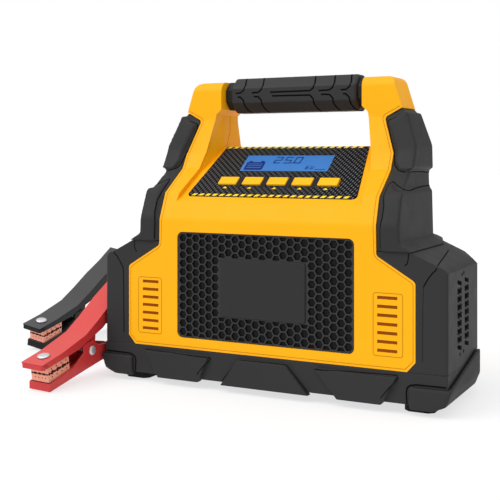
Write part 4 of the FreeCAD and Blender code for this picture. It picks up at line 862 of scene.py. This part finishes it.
# Clamps
class Clamp:
    """Places of one clamp: l along it from its nose, w across from its right side, h up from its foot."""

    def __init__(self, colour):
        self.colour = colour
        self.moving = colour + "_clamp"
        self.nose, turn = CLAMPS[colour]
        yaw, pitch, roll = (math.radians(angle) for angle in turn)
        self.along = Vector((math.sin(yaw) * math.cos(pitch), math.cos(yaw) * math.cos(pitch),
                             math.sin(pitch)))
        level = Vector((-math.cos(yaw), math.sin(yaw), 0))
        upward = self.along.cross(level)
        self.left = level * math.cos(roll) + upward * math.sin(roll)
        self.high = upward * math.cos(roll) - level * math.sin(roll)

    def at(self, l, w, h):
        return Vector(self.nose) + self.along * l + self.left * w + self.high * h

    def on_nose(self, radius, angle, height):
        return self.at(NOSE_RIVET_L + radius * math.cos(angle),
                       CLAMP_WIDTH / 2 + radius * math.sin(angle), height)

    def on_pivot(self, radius, angle, across):
        return self.at(PIVOT_L + radius * math.cos(angle), across, PIVOT_H + radius * math.sin(angle))


def nose_rivet(clamp):
    """Domed rivet through the nose of the upper handle."""
    dome = [(2.0, 22.0), (2.0, 26.5), (5.4, 26.6), (5.5, 27.0), (5.1, 27.5), (4.0, 28.0), (2.2, 28.3),
            (0.4, 28.4)]
    foot = [(3.4, 21.7), (3.4, 22.3), (2.0, 22.4)]
    verts, faces = joined([lathe(dome, 28, clamp.on_nose), lathe(foot, 20, clamp.on_nose)])
    rivet = piece(clamp.colour + "_nose_rivet.dome", verts, faces, MATERIALS["rivet_steel"],
                  clamp.moving, True)
    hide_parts(clamp.colour + "_clamp_nose_rivet")


def pivot_rivet(clamp):
    """Pivot pin with a domed head at both ends."""
    pin = [(1.0, -1.9), (2.6, -1.7), (3.8, -1.2), (4.2, -0.5), (4.2, -0.1), (2.4, 0.0), (2.4, 22.0),
           (4.2, 22.1), (4.2, 22.5), (3.8, 23.2), (2.6, 23.7), (1.0, 23.9)]
    verts, faces = lathe(pin, 28, clamp.on_pivot)
    return piece(clamp.colour + "_pivot_rivet.dome", verts, faces, MATERIALS["rivet_steel"],
                 "root", True)


def spring_coil(clamp):
    """Round wire wound about the pivot, with a straight leg at both ends."""
    spring = bpy.data.curves.new(clamp.colour + "_spring", "CURVE")
    spring.dimensions = "3D"
    spring.bevel_depth = COIL_WIRE_RADIUS * MM
    spring.bevel_resolution = 3
    start = (CLAMP_WIDTH - COIL_TURNS * COIL_PITCH) / 2
    points = []
    for i in range(-1, COIL_STEPS + 2):
        step = max(0, min(COIL_STEPS, i))
        turns = COIL_TURNS * step / COIL_STEPS
        angle = -2 * math.pi * turns - math.pi / 2
        outward = clamp.along * math.cos(angle) + clamp.high * math.sin(angle)
        forward = clamp.along * math.sin(angle) - clamp.high * math.cos(angle)
        middle = clamp.at(PIVOT_L, start + COIL_PITCH * turns, PIVOT_H)
        points.append(middle + outward * COIL_RADIUS + forward * COIL_LEG * (i - step))
    line = spring.splines.new("POLY")
    line.points.add(len(points) - 1)
    for spot, point in zip(line.points, points):
        spot.co = (*(point * MM), 1.0)
    return shown(clamp.colour + "_spring.coil", spring, MATERIALS["spring_steel"], "root")


def jaw_teeth(clamp):
    """Painted shade in the gaps between the teeth of both copper jaws and in a row of small holes beside
    them, and a painted shadow line below the jaws on the front.
    """
    front = ((2.3, 19.7), 2.2, (0.2, 0.8), (5.0, 8.6, 12.2, 15.8), 0.5)
    flank = ((-0.9, 26.6), 3.4, (0.2, 1.3), (4.0, 10.4, 16.8, 23.0), 0.7)
    planes = (("front", lambda u, v, d: clamp.at(-1.0 - d, u, v), front),
              ("right", lambda u, v, d: clamp.at(u, 2.2 - d, v), flank),
              ("left", lambda u, v, d: clamp.at(u, 19.8 + d, v), flank))
    for jaw, body, way in (("upper", clamp.moving, 1), ("lower", "root", -1)):
        level = JAW_MEET + way * JAW_GAP
        for side, place, ((start, stop), pitch, reach, holes, radius) in planes:
            gap = [(start, level), (stop, level)]
            for i in range(int((stop - start) / (pitch / 2)) + 1):
                gap.append((stop - i * pitch / 2, level + way * reach[i % 2]))
            gap.append((start, level + way * reach[0]))
            outlines = [gap]
            row = level + way * JAW_HOLE_DEPTH
            for u in holes:
                outlines.append([(u + radius * math.cos(t * math.pi / 4),
                                  row + radius * math.sin(t * math.pi / 4)) for t in range(8)])
            # Painted shade: dark sheets over the tooth gaps and the holes
            slabs("%s_%s_jaw_teeth_%s" % (clamp.colour, jaw, side), outlines, place, -0.2, 0.07, TOOTH_GAP_SHADE,
                  body)
    # Painted shadow: a dark strip below the jaws on the front, in the groove black
    slabs(clamp.colour + "_jaw_shadow", [box(2.0, 6.3, 20.0, 7.3)], planes[0][1], -0.2, 0.06, GROOVE)


def nose_lip(clamp):
    """Rolled front edge of the upper handle, with its returns along the sides."""
    plan = [(-9.4, 1.2), (-8.2, 0.0), (-1.0, 0.0), (-1.0, 1.2), (-7.6, 1.2), (-8.1, 1.8), (-8.1, 20.2),
            (-7.6, 20.8), (-1.0, 20.8), (-1.0, 22.0), (-8.2, 22.0), (-9.4, 20.8)]
    count = len(plan)
    verts = [clamp.at(l, w, LIP_LOW) for l, w in plan] + [clamp.at(l, w, LIP_HIGH) for l, w in plan]
    faces = [[i, (i + 1) % count, count + (i + 1) % count, count + i] for i in range(count)]
    quads = ((0, 1, 4, 5), (1, 2, 3, 4), (0, 5, 6, 11), (11, 6, 7, 10), (10, 7, 8, 9))
    faces += [list(reversed(quad)) for quad in quads] + [[count + i for i in quad] for quad in quads]
    slot = SLOT_OF[clamp.colour + "_clamp_upper_handle"]
    lip = piece(clamp.colour + "_nose_lip", verts, faces, MATERIALS[slot], clamp.moving)
    soft_edges(lip, 0.5, 2, 30, False)


def clamps():
    """Details of both clamps. Their pivot rivets stand for one node, and so do their springs."""
    pivots = []
    coils = []
    for colour in CLAMPS:
        clamp = Clamp(colour)
        nose_rivet(clamp)
        pivots.append(pivot_rivet(clamp))
        coils.append(spring_coil(clamp))
        jaw_teeth(clamp)
        nose_lip(clamp)
    for node, pieces in (("clamp_pivot_rivets", pivots), ("clamp_springs", coils)):
        for obj in pieces:
            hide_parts(node)


# Floor, light and camera
def floor():
    bpy.ops.mesh.primitive_plane_add(size=FLOOR_SIZE, location=FLOOR_MIDDLE)
    plane = bpy.context.object
    plane.name = "floor"
    n = Material("floor_paper")
    n.feed(n.shader, ("Roughness", 0.9), ("Specular IOR Level", 0.1), ("Emission Color", (1, 1, 1, 1)),
           ("Emission Strength", FLOOR_GLOW), ("Base Color", n.mix(n.noise(3.0), FLOOR_DARK, FLOOR_LIGHT)))
    plane.data.materials.append(n.material)


def sky():
    """White sky with its own strength for diffuse rays, for reflections and for the camera."""
    world = bpy.data.worlds.new("studio")
    bpy.context.scene.world = world
    n = NodeTree(world)
    height = n.split(n.add("TexCoord").outputs["Generated"])[2]
    reflected = n.ramp(height, 0.0, REFLECTED_RISE, REFLECTED_LOW, REFLECTED_HIGH)
    diffuse, glossy, seen = (n.add("Background", ("Color", (1, 1, 1, 1)), ("Strength", strength)).outputs[0]
                             for strength in (SKY, reflected, 1.0))
    rays = n.add("LightPath").outputs
    result = n.add("MixShader", (0, rays["Is Glossy Ray"]), (1, diffuse), (2, glossy)).outputs[0]
    result = n.add("MixShader", (0, rays["Is Camera Ray"]), (1, result), (2, seen)).outputs[0]
    n.add("OutputWorld", ("Surface", result))


def lamps():
    """Soft suns."""
    for name, direction, strength, spread in LAMPS:
        data = bpy.data.lights.new(name, "SUN")
        data.energy = strength
        data.angle = math.radians(spread)
        lamp = bpy.data.objects.new(name, data)
        lamp.rotation_mode = "QUATERNION"
        lamp.rotation_quaternion = Vector(direction).to_track_quat("-Z", "Y")
        bpy.context.scene.collection.objects.link(lamp)


def photograph_camera():
    data = bpy.data.cameras.new("photograph")
    data.lens = CAMERA_LENS
    data.sensor_width = CAMERA_SENSOR
    data.shift_y = CAMERA_SHIFT_Y
    obj = bpy.data.objects.new("photograph", data)
    obj.location = CAMERA_PLACE
    obj.rotation_euler = (math.radians(90), 0, CAMERA_YAW)
    bpy.context.scene.collection.objects.link(obj)
    return obj


dress_nodes()
hazard_stripes()
button_prints()
display_marks()
front_details()
leg_seams()
cover_seams()
base_seams()
side_vent_dots()
side_vent_steps()
grip_sleeve()
grip_grooves()
clamps()
floor()
sky()
lamps()
bpy.context.scene.camera = photograph_camera()
bpy.context.scene.view_settings.view_transform = "Standard"
